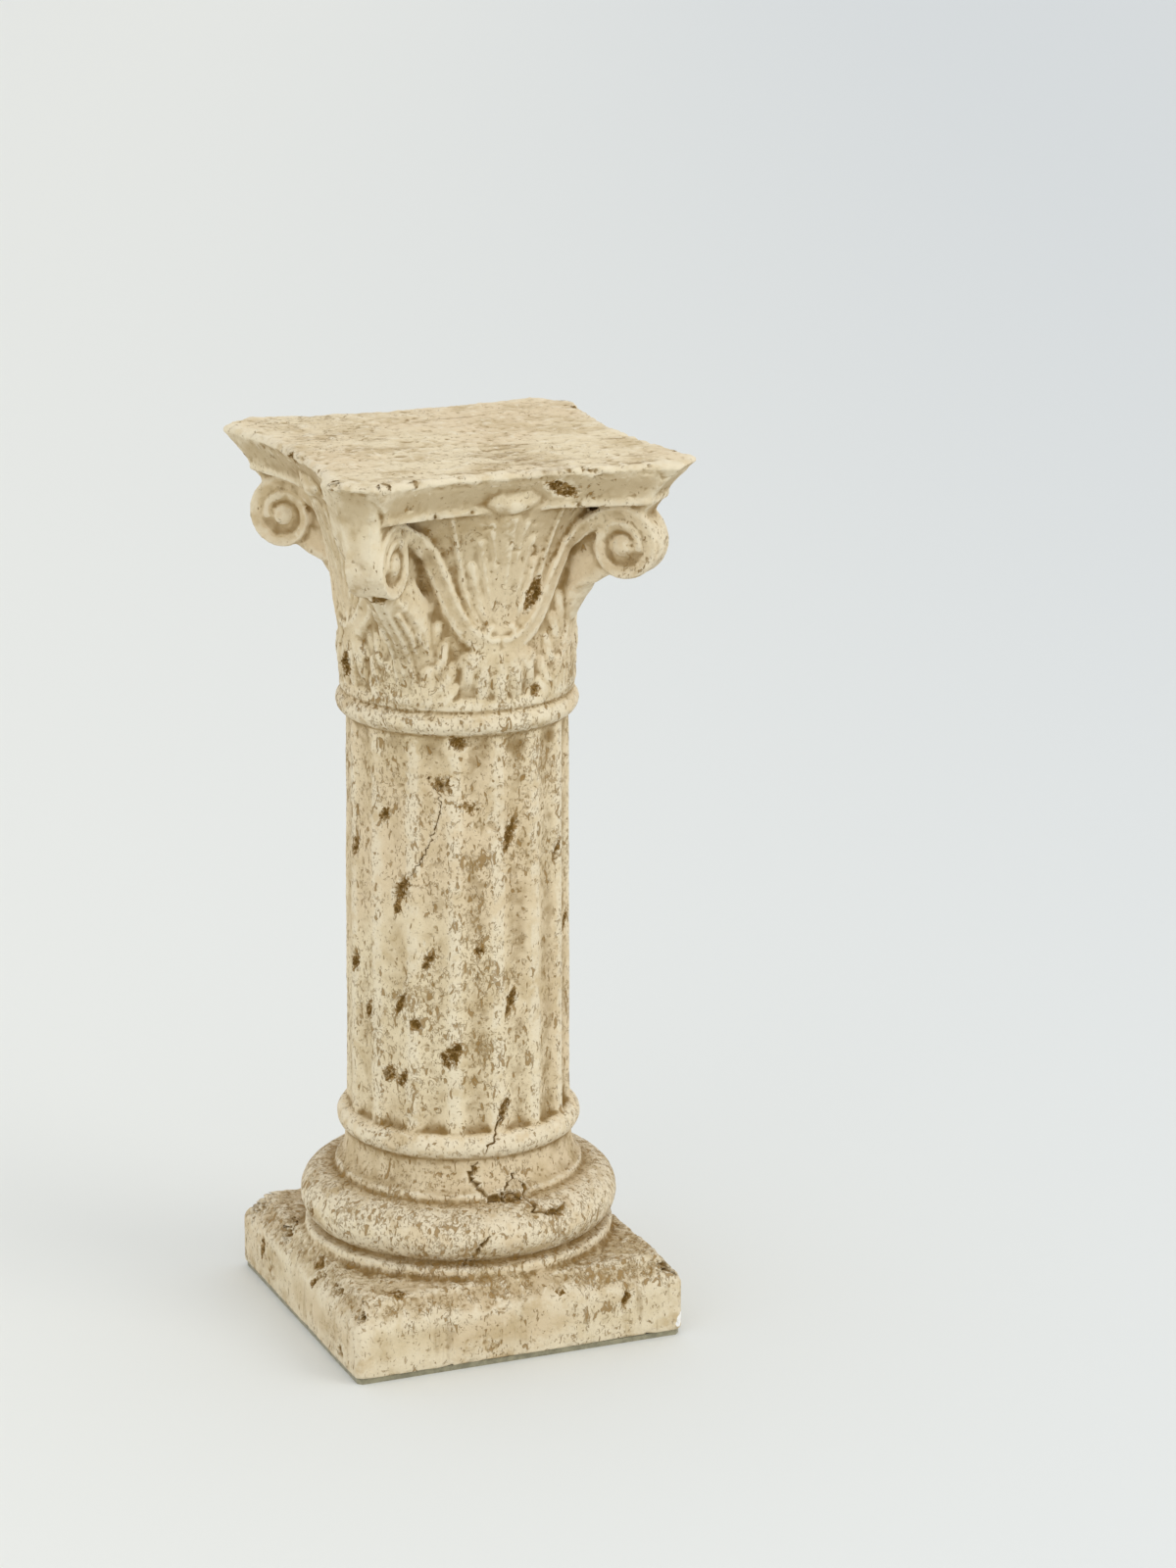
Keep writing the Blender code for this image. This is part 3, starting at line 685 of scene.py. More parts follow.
def add_corner_leaf(corner):
    add_pad(corner, LEAF_OUTLINE, 2.3)
    for turn, head, thick in VEINS:
        for mirror in (-1, 1) if turn else (1,):
            stations = [(turn, 0.04, 1.6), (0.95 * turn, 0.22, 2.2), (0.72 * turn, head - 0.12, 2.4)]
            stations.append((0.45 * turn, head, 2.2))
            add_rib(corner, mirror, stations, thick, end=0.8)
    # The leaf's tip leans out and carries the volute.
    tip = [on_diagonal(corner, reach * MM, 0, bell_z(share)) for reach, share in TIP_PATH]
    add_rod(tip, [half * MM for half in TIP_HALVES], flat=0.7, sides=10)
    for mirror in (-1, 1):
        for root, bend, tip, thick in LEAF_LOBES:
            add_lobe(corner, mirror, root, bend, tip, thick)


add_corner_leaf(45)
print("corner leaves with", 2 * len(LEAF_LOBES), "lobes each")

# %% [markdown]
# ## The middle of each face
#
# Between two stems a small leaf hangs down, a palmette fans out above it, and a flower sits on
# the edge of the abacus. They have worn soft, so their strands are low ribs that the remesh
# further down melts into the pad below them, where crisp blades would look newly carved.

# %% Leaf, palmette and flower in the middle of each face
DROOPING_LOBES = [
    # foot of each lobe of the hanging leaf: degrees, share of the bell, thickness
    (0.0, 0.060, 3.7), (8.5, 0.085, 3.6), (16.0, 0.140, 3.3), (4.4, 0.120, 2.3), (12.5, 0.175, 2.3),
    (18.5, 0.225, 2.2),
]
PALMETTE_STRANDS = [
    # root, bend and tip of each strand, from the highest to the lowest, then its thickness
    ((1.5, 0.42), (3.6, 0.68), (7.0, 0.94), 1.8),
    ((2.0, 0.41), (6.6, 0.60), (11.0, 0.85), 2.0),
    ((2.5, 0.40), (9.4, 0.51), (14.2, 0.73), 2.1),
    ((3.0, 0.39), (11.2, 0.44), (16.8, 0.59), 2.0),
    ((3.0, 0.375), (10.0, 0.385), (15.8, 0.46), 1.8),
]


def add_middle_carving(face):
    outline = [(0.09, 9.0), (0.13, 15.0), (0.19, 19.0), (0.25, 18.0), (0.30, 12.0), (0.34, 8.0)]
    add_pad(face, outline + [(0.38, 7.0), (0.42, 4.0)], 1.5)
    for turn, foot, thick in DROOPING_LOBES:
        for mirror in (-1, 1) if turn else (1,):
            stations = [(0.45 * turn, 0.300, 0.6), (0.9 * turn, 0.5 * (0.30 + foot), 1.5), (turn, foot, 0.4)]
            add_rib(face, mirror, stations, thick, end=0.85, flat=0.55)
    add_pad(face, [(0.36, 6.0), (0.45, 14.0), (0.60, 16.0), (0.75, 13.5), (0.88, 9.0), (0.97, 4.0)], 1.0)
    add_rib(face, 1, [(1.4, 0.40, 0.6), (1.0, 0.7, 0.9), (1.6, 0.97, 0.9)], 1.3)
    add_rib(face, 1, [(-1.4, 0.40, 0.6), (-1.0, 0.7, 0.7), (-0.6, 0.97, 0.7)], 1.1)
    for mirror in (-1, 1):
        for root, bend, tip, thick in PALMETTE_STRANDS:
            add_rib(face, mirror, [(*root, 0.1), (*bend, 0.5), (*tip, 0.3)], thick, end=0.85, flat=0.55)
        curl = [(1.5, 0.345, 1.2), (5.4, 0.355, 1.5), (6.6, 0.400, 1.4), (4.2, 0.415, 1.1), (3.4, 0.39, 0.9)]
        add_rib(face, mirror, curl, 1.6)
        # The thin edge that runs up beside each stem.
        edge = [(15.0, 0.53, 0.2), (18.0, 0.62, 0.4), (20.4, 0.80, 0.5), (22.6, 0.985, 0.4)]
        add_rib(face, mirror, edge, 1.0, end=0.9)


def add_lump(degrees, reach, z, halves, steps=2):
    """A rounded lump; its half sizes run sideways, outwards and upwards."""
    made = bmesh.ops.create_icosphere(clay, subdivisions=steps, radius=1.0)["verts"]
    for vert in made:
        aside, out, up = (vert.co.x * halves[0], vert.co.y * halves[1], vert.co.z * halves[2])
        vert.co = on_diagonal(degrees, reach + out, aside, z + up)
    faces = list({face for vert in made for face in vert.link_faces})
    clay.normal_update()
    bmesh.ops.recalc_face_normals(clay, faces=faces)


PETALS = [
    # aside, up, half width and half height in millimetres, then how proud it stands
    (0.0, 0.0, 15.0, 9.5, 3.0), (-6.5, 0.6, 5.6, 5.0, 3.4), (6.5, 0.6, 5.6, 5.0, 3.4),
    (0.0, 4.6, 5.4, 4.4, 3.5), (0.0, -5.0, 5.6, 4.6, 3.2),
]


def add_fleuron(face):
    """A worn flower on the edge of the abacus: a low mound with soft petals on it."""
    reach = SOFFIT_HALF - ABACUS_HOLLOW + 1.5 * MM
    middle = SOFFIT + 9 * MM
    for aside, up, wide, tall, proud in PETALS:
        angle = face + math.degrees(aside * MM / reach)
        add_lump(angle, reach, middle + up * MM, (wide * MM, proud * MM, tall * MM))


add_middle_carving(0)
add_fleuron(0)
print("palmette with", 2 * len(PALMETTE_STRANDS), "strands")

# %% [markdown]
# ## Four quarters
#
# One corner and one face are a quarter of the carving. A mould maker models one quarter well
# and presses it four times. Here a tree sets its copies round the axis, so a change to one leaf
# reaches all four.

# %% Turn the quarter round the axis
def quarters_tree():
    inputs = [GEOMETRY, ("Copies", "NodeSocketInt"), FINISH]
    tree, given, result = new_tree("round the axis", "GeometryNodeTree", inputs, [GEOMETRY])
    value = given.outputs
    points = linked(tree, "GeometryNodePoints", None, Count=value["Copies"]).outputs[0]
    step = sums(tree, "DIVIDE", 2 * math.pi, value["Copies"])
    turn = sums(tree, "MULTIPLY", linked(tree, "GeometryNodeInputIndex").outputs[0], step)
    turn = linked(tree, "ShaderNodeCombineXYZ", None, Z=turn).outputs[0]
    sockets = {"Points": points, "Instance": value["Geometry"], "Rotation": turn}
    copies = linked(tree, "GeometryNodeInstanceOnPoints", None, **sockets).outputs[0]
    finished(tree, copies, value["Finish"], result)
    return tree


quarter = bpy.data.meshes.new("quarter")
clay.to_mesh(quarter)
clay.clear()
carving = grown("carving", quarters_tree(), {"Copies": 4, "Finish": plaster}, quarter)
clay.from_mesh(plain_lumps)
clay.from_mesh(carving)
print("carving:", len(carving.vertices), "points in four quarters")

# %% [markdown]
# ## A strap at the front left corner
#
# In the photograph the front left volute isn't free: surplus plaster runs straight down from
# the abacus over the roll and tapers into the leaf. It is on that corner alone, so it is one
# more lump, given by its outline at eleven heights.

# %% Surplus plaster
STRAP = [
    # height, then distance out and aside of the outline's points, in millimetres
    (447, (100, 9), (117, 10.4), (119.5, 8.4), (119.5, -11.0), (109.0, -22.0), (88, -24)),
    (439, (95, 9), (113.2, 9.6), (115.2, 7.2), (115.0, -10.5), (104.5, -21.5), (86, -24)),
    (430, (90, 8), (109.6, 9.0), (112.0, 6.2), (111.0, -10.0), (100.5, -21.0), (82, -23)),
    (421, (80, 6), (108.6, 8.4), (111.2, 5.4), (109.0, -9.5), (98.5, -20.5), (78, -20)),
    (412, (78, 5), (107.6, 7.8), (110.8, 4.6), (108.0, -8.5), (95.5, -19.0), (74, -17)),
    (402, (74, 5), (105.6, 7.2), (108.8, 4.0), (104.5, -7.5), (89.0, -16.5), (68, -15)),
    (391, (66, 9), (92.0, 7.4), (99.0, 3.0), (95.0, -7.0), (80.0, -13.5), (62, -14)),
    (380, (58, 12), (76.0, 10.0), (87.0, 3.0), (83.0, -7.0), (71.0, -11.0), (56, -13)),
    (368, (50, 14), (64.5, 12.0), (74.0, 3.0), (71.5, -6.0), (64.0, -9.0), (50, -11)),
    (354, (46, 14), (58.5, 12.5), (64.0, 3.0), (62.0, -5.0), (58.0, -8.0), (46, -10)),
    (338, (46, 12), (56.0, 10.0), (59.0, 3.0), (58.0, -4.0), (55.0, -7.0), (46, -8)),
]
add_rings([[on_diagonal(-45, reach * MM, aside * MM, z * MM) for reach, aside in spots]
           for z, *spots in STRAP])
# Veins of the leaf that show through: aside, how far each stands forward, and its spots
VEIN_PATH = [(58, 338), (63, 354), (73, 368), (86, 380), (98, 391)]
STRAP_VEINS = [(-5.0, 0.0, 4), (-1.0, 0.6, 5), (3.0, 0.4, 4), (6.5, -2.4, 4), (9.5, -5.4, 3)]
for aside, front, count in STRAP_VEINS:
    spots = [((reach + front) * MM, aside * MM, z * MM) for reach, z in VEIN_PATH[:count]]
    add_rod([on_diagonal(-45, *spot) for spot in spots], [1.5 * MM] * (count - 1) + [0.9 * MM])
print("strap over", STRAP[0][0] - STRAP[-1][0], "mm of height")

# %% [markdown]
# ## One cast body
#
# The lumps overlap, and every crease between them is knife sharp, while a cast from an old
# mould has soft creases. A voxel remesh solves both: it keeps only the outside of all the
# lumps, as one closed skin of even small faces, and it rounds what is finer than its cells.

# %% Fuse the lumps into one skin
VOXEL = 1.05 * MM

clay_mesh = bpy.data.meshes.new("clay lumps")
clay.to_mesh(clay_mesh)
clay.free()
lumps = placed("lumps", clay_mesh)
remesh = lumps.modifiers.new("fuse", "REMESH")
remesh.mode = "VOXEL"
remesh.voxel_size = VOXEL
soften = lumps.modifiers.new("soften", "SMOOTH")
soften.factor = 0.5
soften.iterations = 2
skin = applied(lumps, "skin")
print("fused skin:", len(skin.vertices), "points")

# %% [markdown]
# ## Knocks
#
# The maker knocked pieces out of the cast before it was coloured. Each knock is a ragged hollow:
# points of the skin that fall inside a lump, in shape between a ball and a diamond, are pushed
# in towards its far side, and noise makes its rim ragged. A lump centred outside a corner
# breaks the corner off, and one centred on a face digs a pit, which has a depth it stops at.
# Cutting them with a Boolean would give each a clean edge, which broken plaster doesn't have.

# %% Knock pieces out
from mathutils import noise

PITS = [
    # on the shaft: degrees from the front, distance out, height, half sizes
    (-52.0, 57.0, 234.0, (4.6, 4.6, 9.6)), (-54.5, 57.0, 224.5, (3.0, 4.6, 5.28)),
    (-36.3, 56.4, 199.5, (2.8, 4.6, 7.44)), (-13.0, 57.2, 277.6, (8.0, 4.6, 5.04)),
    (-20.0, 57.0, 310.5, (7.0, 4.6, 3.6)), (-31.0, 57.2, 290.0, (8.0, 4.6, 7.2)),
    (8.3, 55.0, 264.5, (3.4, 4.6, 10.8)), (40.8, 57.2, 246.0, (2.0, 4.6, 8.4)),
    (-61.5, 57.0, 271.5, (3.4, 4.6, 5.28)), (-87.0, 57.2, 250.0, (3.0, 4.6, 8.4)),
    (-10.5, 56.0, 204.5, (3.0, 4.6, 5.04)), (-88.0, 57.2, 190.0, (3.6, 4.6, 7.2)),
    (-75.0, 57.0, 167.5, (3.0, 4.6, 6.72)), (-53.0, 56.6, 174.5, (2.2, 4.6, 7.8)),
    (-43.3, 56.6, 166.0, (3.2, 4.6, 3.12)), (8.0, 55.4, 177.5, (2.6, 4.6, 7.92)),
    (-26.5, 56.8, 150.0, (5.2, 4.6, 5.04)), (-22.0, 57.0, 154.0, (3.4, 4.6, 3.6)),
    (-59.0, 56.8, 138.0, (3.8, 4.6, 5.04)), (-51.0, 56.8, 136.5, (3.0, 4.6, 6.0)),
    (3.6, 56.6, 122.0, (3.0, 4.6, 7.68)), (60.0, 57.0, 205.0, (3.0, 4.6, 9.6)),
    (100.0, 57.0, 262.0, (4.0, 4.6, 7.2)), (132.0, 57.0, 180.0, (4.4, 4.6, 8.4)),
    (171.0, 57.0, 232.0, (5.0, 4.6, 9.6)), (-150.0, 57.0, 150.0, (4.6, 4.6, 6.0)),
    (-118.0, 57.0, 214.0, (3.4, 4.6, 8.4)), (155.0, 57.0, 290.0, (6.0, 4.6, 4.8)),
    # on the base
    (-13.0, 61.0, 92.0, (3.4, 4.2, 3.12)), (2.0, 65.0, 77.0, (5.0, 3.0, 2.88)),
    (17.0, 80.6, 70.6, (5.0, 6.0, 1.92)), (-88.0, 82.0, 58.0, (6.0, 2.0, 6.0)),
    (120.0, 82.0, 62.0, (6.0, 2.2, 6.0)), (-160.0, 62.0, 103.0, (5.0, 2.6, 3.6)),
    # on the bell and the abacus
    (16.0, 60.0, 384.3, (4.2, 6.0, 8.16)), (-86.7, 58.0, 344.0, (5.4, 4.4, 7.68)),
    (19.5, 58.8, 335.0, (3.6, 2.6, 3.6)), (-62.0, 63.0, 366.0, (4.0, 3.0, 8.4)),
    (16.6, 82.2, 439.2, (9.5, 3.8, 4.8)), (-32.2, 101.0, 433.6, (4.6, 3.0, 3.36)),
    (-64.0, 96.0, 441.0, (5.0, 3.0, 4.08)), (-92.0, 84.0, 444.0, (5.0, 3.4, 4.8)),
    (-43.0, 98.0, 389.0, (4.0, 3.2, 7.68)),
    (104.0, 80.0, 438.0, (7.0, 3.0, 4.8)), (-151.0, 92.0, 440.0, (6.0, 3.0, 4.8)),
    # in the sides and on top of the plinth
    (-39.3, 99.6, 42.0, (4.6, 4.0, 4.8)), (-76.0, 88.6, 29.5, (2.6, 2.6, 3.84)),
    (-79.0, 84.0, 38.6, (5.0, 4.0, 4.32)), (-122.0, 103.5, 21.0, (3.0, 2.4, 8.4)),
    (33.0, 103.5, 24.0, (2.4, 2.0, 7.2)), (12.0, 90.5, 34.5, (6.0, 3.6, 3.6)),
]

CHIPS = [
    # at corners and edges of the abacus
    (-134.0, 126.5, 452.0, (9.0, 6.5, 6.0)), (135.0, 127.0, 452.0, (6.0, 5.0, 5.0)),
    (48.0, 126.0, 452.5, (7.0, 4.6, 4.4)), (-49.0, 125.5, 452.6, (7.0, 4.0, 4.4)),
    # at corners and edges of the plinth
    (-133.0, 117.5, 44.0, (26.0, 13.0, 13.0)), (45.0, 120.5, 40.5, (13.0, 8.5, 8.0)),
    (-47.0, 118.5, 40.0, (10.0, 6.5, 6.5)), (-54.0, 108.0, 9.0, (5.0, 3.6, 3.4)),
    (-112.0, 88.0, 40.0, (13.0, 4.5, 6.5)), (134.0, 119.5, 41.0, (14.0, 9.0, 9.0)),
]

# How far a knock leans to the right, how ragged its rim is, its shape, where 2 is a ball and
# 1 a diamond, and how deep a pit goes, in millimetres
TILT = 0.42
RAG = 0.55
POINTED = 1.4
PIT_DEPTH = 1.9
rng = np.random.default_rng(21)


def edge_knocks(half, hollow, z, count, largest):
    """Small chips along the four edges of a square slab whose sides may bow inwards."""
    chips = []
    for side in range(4):
        for spot in rng.uniform(-0.95, 0.95, count):
            bow = hollow * (1 - spot ** 2)
            degrees = 90 * side + math.degrees(math.atan2(spot * half, half - bow))
            size = largest * rng.uniform(0.3, 1.0) ** 1.5
            reach = math.hypot(spot * half, half - bow) + 0.5 * size
            halves = (size * rng.uniform(1.2, 3.0), size, size * rng.uniform(0.8, 1.3))
            chips.append((degrees, reach, z + rng.uniform(-0.6, 1.4), halves))
    return chips


def ball_shares(places, degrees, reach, z, halves, tilt=TILT):
    """How far each point is from a ball's centre, in the ball's own half sizes and axes.

    The ball leans to the right by the tilt, as most of the knocks in the photograph do.
    """
    away = places - np.array(around(degrees, reach * MM, z * MM))
    aside = away @ np.array(around(degrees + 90, 1.0, 0.0))
    out = away @ np.array(around(degrees, 1.0, 0.0))
    rise = away[:, 2] * math.cos(tilt) + aside * math.sin(tilt)
    aside = aside * math.cos(tilt) - away[:, 2] * math.sin(tilt)
    return np.stack((aside, out, rise), axis=1) / (np.array(halves) * MM)


def knock(places, degrees, reach, z, halves, deepest=20.0):
    """Pushes the points inside a ragged ball out of it; the sizes are in millimetres."""
    local = ball_shares(places, degrees, reach, z, halves)
    size = np.linalg.norm(local, POINTED, axis=1)
    near = np.where(size < 1 + RAG)[0]
    outwards = np.array(around(degrees, 1.0, 0.0))
    for i in near:
        edge = 1 + RAG * noise.fractal(Vector(places[i]) * 330, 0.7, 2.1, 4)
        if size[i] < edge:
            # Only its depth changes, so that the rim stays ragged and the floor uneven.
            room = edge ** POINTED - abs(local[i, 0]) ** POINTED - abs(local[i, 2]) ** POINTED
            depth = (max(room, 0.0) ** (1 / POINTED) + local[i, 1]) * halves[1]
            limit = deepest * (0.75 + 0.9 * noise.noise(Vector(places[i]) * 500))
            places[i] -= outwards * min(depth, limit) * MM
    return len(near)


def points_of(mesh):
    flat = np.empty(len(mesh.vertices) * 3, dtype=np.float32)
    mesh.vertices.foreach_get("co", flat)
    return flat.reshape(-1, 3).astype(float)


places = points_of(skin)
CHIPS += edge_knocks(94.5, 10.0, 449.0, 16, 3.6)
CHIPS += edge_knocks(84.0, 10.0, 428.6, 7, 2.2)
CHIPS += edge_knocks(84.0, 0.0, 38.5, 12, 4.2)
moved = sum(knock(places, *one, PIT_DEPTH) for one in PITS) + sum(knock(places, *one) for one in CHIPS)
skin.vertices.foreach_set("co", places.astype(np.float32).ravel())
skin.update()
print(len(PITS), "pits and", len(CHIPS), "chips moved", moved, "points")

# %% [markdown]
# ## Weathering
#
# The whole surface is uneven: it swells a little, it is grainy, and shallow pits are scattered
# over it in patches. That follows a rule and not a drawing, so Geometry Nodes do it. The tree
# moves each point along its normal by noise of two sizes, takes pits away, and is rougher
# round the plinth's top border and on top of the abacus. Every size is a named input.

# %% Weathering tree
def weathering_tree():
    inputs = [GEOMETRY] + floats("Swell", "Grain", "Pit Depth", "Border Roughness", "Seed") + [FINISH]
    tree, given, result = new_tree("weathering", "GeometryNodeTree", inputs, [GEOMETRY])
    value = given.outputs
    place = linked(tree, "GeometryNodeInputPosition").outputs[0]
    height = linked(tree, "ShaderNodeSeparateXYZ", None, Vector=place).outputs["Z"]
    swell = sums(tree, "SUBTRACT", noise_value(tree, place, 26.0, 3.0, seed=value["Seed"]), 0.5)
    grain = sums(tree, "SUBTRACT", noise_value(tree, place, 190.0, 4.0, 0.6, seed=value["Seed"]), 0.5)
    border = ramp(tree, height, PLINTH_TOP - 15 * MM, PLINTH_TOP - 7 * MM)
    above = ramp(tree, height, PLINTH_TOP + 1 * MM, PLINTH_TOP + 3 * MM, 1.0, 0.0)
    border = sums(tree, "MULTIPLY", border, above)
    crown = ramp(tree, height, STONE_TOP - 12 * MM, STONE_TOP - 1 * MM, 0.0, 0.85)
    rough = sums(tree, "MULTIPLY", sums(tree, "ADD", border, crown), value["Border Roughness"])
    chunks = sums(tree, "SUBTRACT", noise_value(tree, place, 85.0, 4.0, 0.65, 0.4, value["Seed"]), 0.56)
    pits = ramp(tree, noise_value(tree, place, 150.0, 3.0, 0.62, 0.9, value["Seed"]), 0.57, 0.68)
    patches = ramp(tree, noise_value(tree, place, 24.0, 2.0, seed=value["Seed"]), 0.44, 0.60)
    pits = sums(tree, "MULTIPLY", pits, patches)
    shift = sums(tree, "MULTIPLY", swell, value["Swell"])
    shift = sums(tree, "MULTIPLY_ADD", grain, value["Grain"], shift)
    shift = sums(tree, "MULTIPLY_ADD", chunks, rough, shift)
    shift = sums(tree, "SUBTRACT", shift, sums(tree, "MULTIPLY", pits, value["Pit Depth"]))
    normal = linked(tree, "GeometryNodeInputNormal").outputs[0]
    push = linked(tree, "ShaderNodeVectorMath", {"operation": "SCALE"}, Vector=normal, Scale=shift).outputs[0]
    moved = linked(tree, "GeometryNodeSetPosition", None, Geometry=value["Geometry"], Offset=push).outputs[0]
    finished(tree, moved, value["Finish"], result)
    return tree


weathering = weathering_tree()
print("weathering tree has", len(weathering.nodes), "nodes")

# %% Weather the skin and thin it out
WEATHER = {"Swell": 1.5 * MM, "Grain": 0.85 * MM, "Pit Depth": 0.7 * MM}
WEATHER |= {"Border Roughness": 5.0 * MM, "Seed": 4.0, "Finish": plaster}
TRIANGLES = 186_000

weathered = carrier_of("weathered", weathering, WEATHER, skin)
thin = weathered.modifiers.new("thin", "DECIMATE")
thin.ratio = TRIANGLES / sum(len(face.vertices) - 2 for face in skin.polygons)
body = applied(weathered, "cast body")
print("weathered body:", sum(len(face.vertices) - 2 for face in body.polygons), "triangles")

# %% [markdown]
# ## Cracks
#
# A crack is a thin jagged wedge that is cut out of the cast. Each is drawn by a few stations on
# the surface; the steps between them wander sideways, and the wedge closes at both ends. Rays
# sent in from outside find the surface, so one crack can run over several mouldings. Cracks
# painted on would vanish from the mesh, and these are real grooves.

# %% Cut the cracks
from mathutils.bvhtree import BVHTree

CRACKS = [
    # how wide the crack is, then degrees from the front and height in millimetres
    [0.75, (-26, 294), (-31.4, 285.1), (-29.5, 279), (-31.5, 271.7), (-34, 264), (-36.5, 258), (-39.1, 252.3),
     (-43, 246.5), (-46.1, 241.6), (-50, 236)],
    [0.7, (-34.5, 289), (-31.4, 285.1), (-28.2, 282.5)],
    [1.2, (3.6, 123), (1, 116), (-1.5, 112), (-4, 108.5), (-6.5, 104.9), (-9, 100)],
    [2.7, (-11.5, 95.5), (-13.4, 93.8), (-14, 91), (-16.4, 89.1), (-13, 85), (-9.5, 80.5), (-6.8, 78.5),
     (-0.7, 77), (3, 79), (6.5, 77), (10.3, 75.5)],
    [1.9, (7.5, 87.5), (3.5, 83), (-0.5, 79.5), (-3.5, 77.5)],
    [2.3, (10.4, 84.8), (11, 79), (10.3, 75.5), (8.8, 72.7), (13, 71.3), (19.6, 70.2),
     (22, 73), (24.5, 74.5)],
    [1.8, (-10.1, 64.7), (-13, 60), (-14.5, 55), (-17, 52), (-20.5, 47.5)],
    [0.8, (118, 240), (121, 228), (117, 219), (120, 206), (124, 197)],
    [0.8, (-142, 300), (-147, 287), (-143, 276), (-149, 262), (-146, 251)],
    [1.5, (172, 101), (168, 92), (170, 84), (163, 78), (160, 71)],
]
CRACK_HALF_WIDTH = 0.62 * MM
CRACK_DEPTH = 1.7 * MM
CRACK_STEP = 1.1 * MM
# The wedge's top stands this many millimetres clear of the surface, and is wider there.
CRACK_CLEAR = 0.9
CRACK_FLARE = 1.5


def crack_line(stations, surface, salt):
    """Points on the surface, about one step apart, with the surface's normal at each."""
    line = []
    for (turn0, z0), (turn1, z1) in zip(stations, stations[1:]):
        length = math.hypot(math.radians(turn1 - turn0) * SHAFT_FOOT_RADIUS, (z1 - z0) * MM)
        count = max(2, round(length / CRACK_STEP))
        for i in range(count):
            share = i / count
            stray = noise.noise(Vector((salt, len(line) * 0.55, 0.0))) * 2.2
            rise = noise.noise(Vector((salt, 0.0, len(line) * 0.55))) * 1.2
            turn = turn0 + (turn1 - turn0) * share + stray
            height = (z0 + (z1 - z0) * share + rise) * MM
            start = Vector(around(turn, ABACUS_HALF * 1.5, height))
            hit, normal, _, _ = surface.ray_cast(start, -Vector(around(turn, 1.0, 0.0)))
            if hit:
                line.append((hit, normal))
    return line


def crack_cutter(line, wide, salt):
    """A closed wedge along the line, thin at both ends."""
    shape = bmesh.new()
    rings = []
    for i, (place, _) in enumerate(line):
        near = line[max(0, i - 2):i + 3]
        normal = sum((n for _, n in near), Vector()).normalized()
        along = near[-1][0] - near[0][0]
        side = normal.cross(along).normalized()
        close = min(i, len(line) - 1 - i) / (0.25 * len(line))
        size = min(1.0, 0.38 + close) * (1 + 0.9 * noise.noise(Vector((salt, i * 0.8, 3.0))))
        lift, reach = normal * CRACK_CLEAR * MM, side * CRACK_HALF_WIDTH * size * wide * CRACK_FLARE
        sunk = normal * CRACK_DEPTH * size * min(1.3, wide)
        corners = (place + lift + reach, place - sunk, place + lift - reach)
        rings.append([shape.verts.new(corner) for corner in corners])
    for before, after in zip(rings, rings[1:]):
        for i in range(3):
            shape.faces.new((before[i], before[i - 1], after[i - 1], after[i]))
    shape.faces.new(rings[0])
    shape.faces.new(rings[-1][::-1])
    bmesh.ops.recalc_face_normals(shape, faces=shape.faces)
    mesh = bpy.data.meshes.new("crack")
    shape.to_mesh(mesh)
    shape.free()
    return mesh


surface = BVHTree.FromPolygons(points_of(body).tolist(), [tuple(face.vertices) for face in body.polygons])
cracks = bpy.data.collections.new("cracks")
for salt, (wide, *stations) in enumerate(CRACKS):
    wedge = crack_cutter(crack_line(stations, surface, salt * 7.3), wide, salt * 5.1)
    cutter = bpy.data.objects.new("crack", wedge)
    cracks.objects.link(cutter)
scene.collection.children.link(cracks)
cracked = placed("cracked", body)
cut = cracked.modifiers.new("cracks", "BOOLEAN")
cut.operand_type = "COLLECTION"
cut.collection = cracks
cut.solver = "MANIFOLD"
triangulate = cracked.modifiers.new("triangles", "TRIANGULATE")
cast = applied(cracked, "cast column")
for cutter in list(cracks.objects):
    bpy.data.objects.remove(cutter, do_unlink=True)
bpy.data.collections.remove(cracks)
print(len(CRACKS), "cracks:", len(body.polygons), "faces became", len(cast.polygons))

# %% [markdown]
# ## Hollows and arrises
#
# The brown wash stayed in the hollows and was wiped off the high edges, and the broad rounded
# parts get painted highlight, so the finish needs to know which places are which. The mesh is
# smoothed in a copy, a little and a lot: a point that lies under its smoothed self is in a hollow,
# and one above it is on an edge. The depths are kept on the points in millimetres, next to where
# the pits and the bare chips are.

# %% Measure the hollows
def smoothed(values, first, second, rounds):
    """The values after each point has been drawn halfway to its neighbours, some rounds over."""
    total = len(values)
    counts = np.bincount(first, minlength=total) + np.bincount(second, minlength=total)
    for _ in range(rounds):
        sums_of = [
            np.bincount(first, values[second, k], total) + np.bincount(second, values[first, k], total)
            for k in range(3)
        ]
        values = 0.5 * values + 0.5 * np.stack(sums_of, axis=1) / counts[:, None]
    return values


def keep(mesh, name, values):
    mesh.attributes.new(name, "FLOAT", "POINT").data.foreach_set("value", values.astype(np.float32))


def nearness(places, spots, reach):
    """One at a spot, falling to nothing at its reach."""
    near = np.zeros(len(places))
    for spot in spots:
        distance = np.linalg.norm(places - np.array(spot) * MM, axis=1) / (reach * MM)
        near = np.maximum(near, np.clip(1 - distance, 0, 1))
    return near


def struck(places, pits, spread=1.6):
    """How far inside a pit each point is: one on its floor, nothing at its spread."""
    inside = np.zeros(len(places))
    for pit in pits:
        size = np.linalg.norm(ball_shares(places, *pit), POINTED, axis=1)
        inside = np.maximum(inside, np.clip((spread - size) / (spread - 0.9), 0, 1))
    return inside


BARE_SPOTS = [(-89.8, 83.2, 450.0), (-88.0, 85.5, 447.0), (85.5, -87.5, 7.0), (87.0, -87.3, 10.0)]

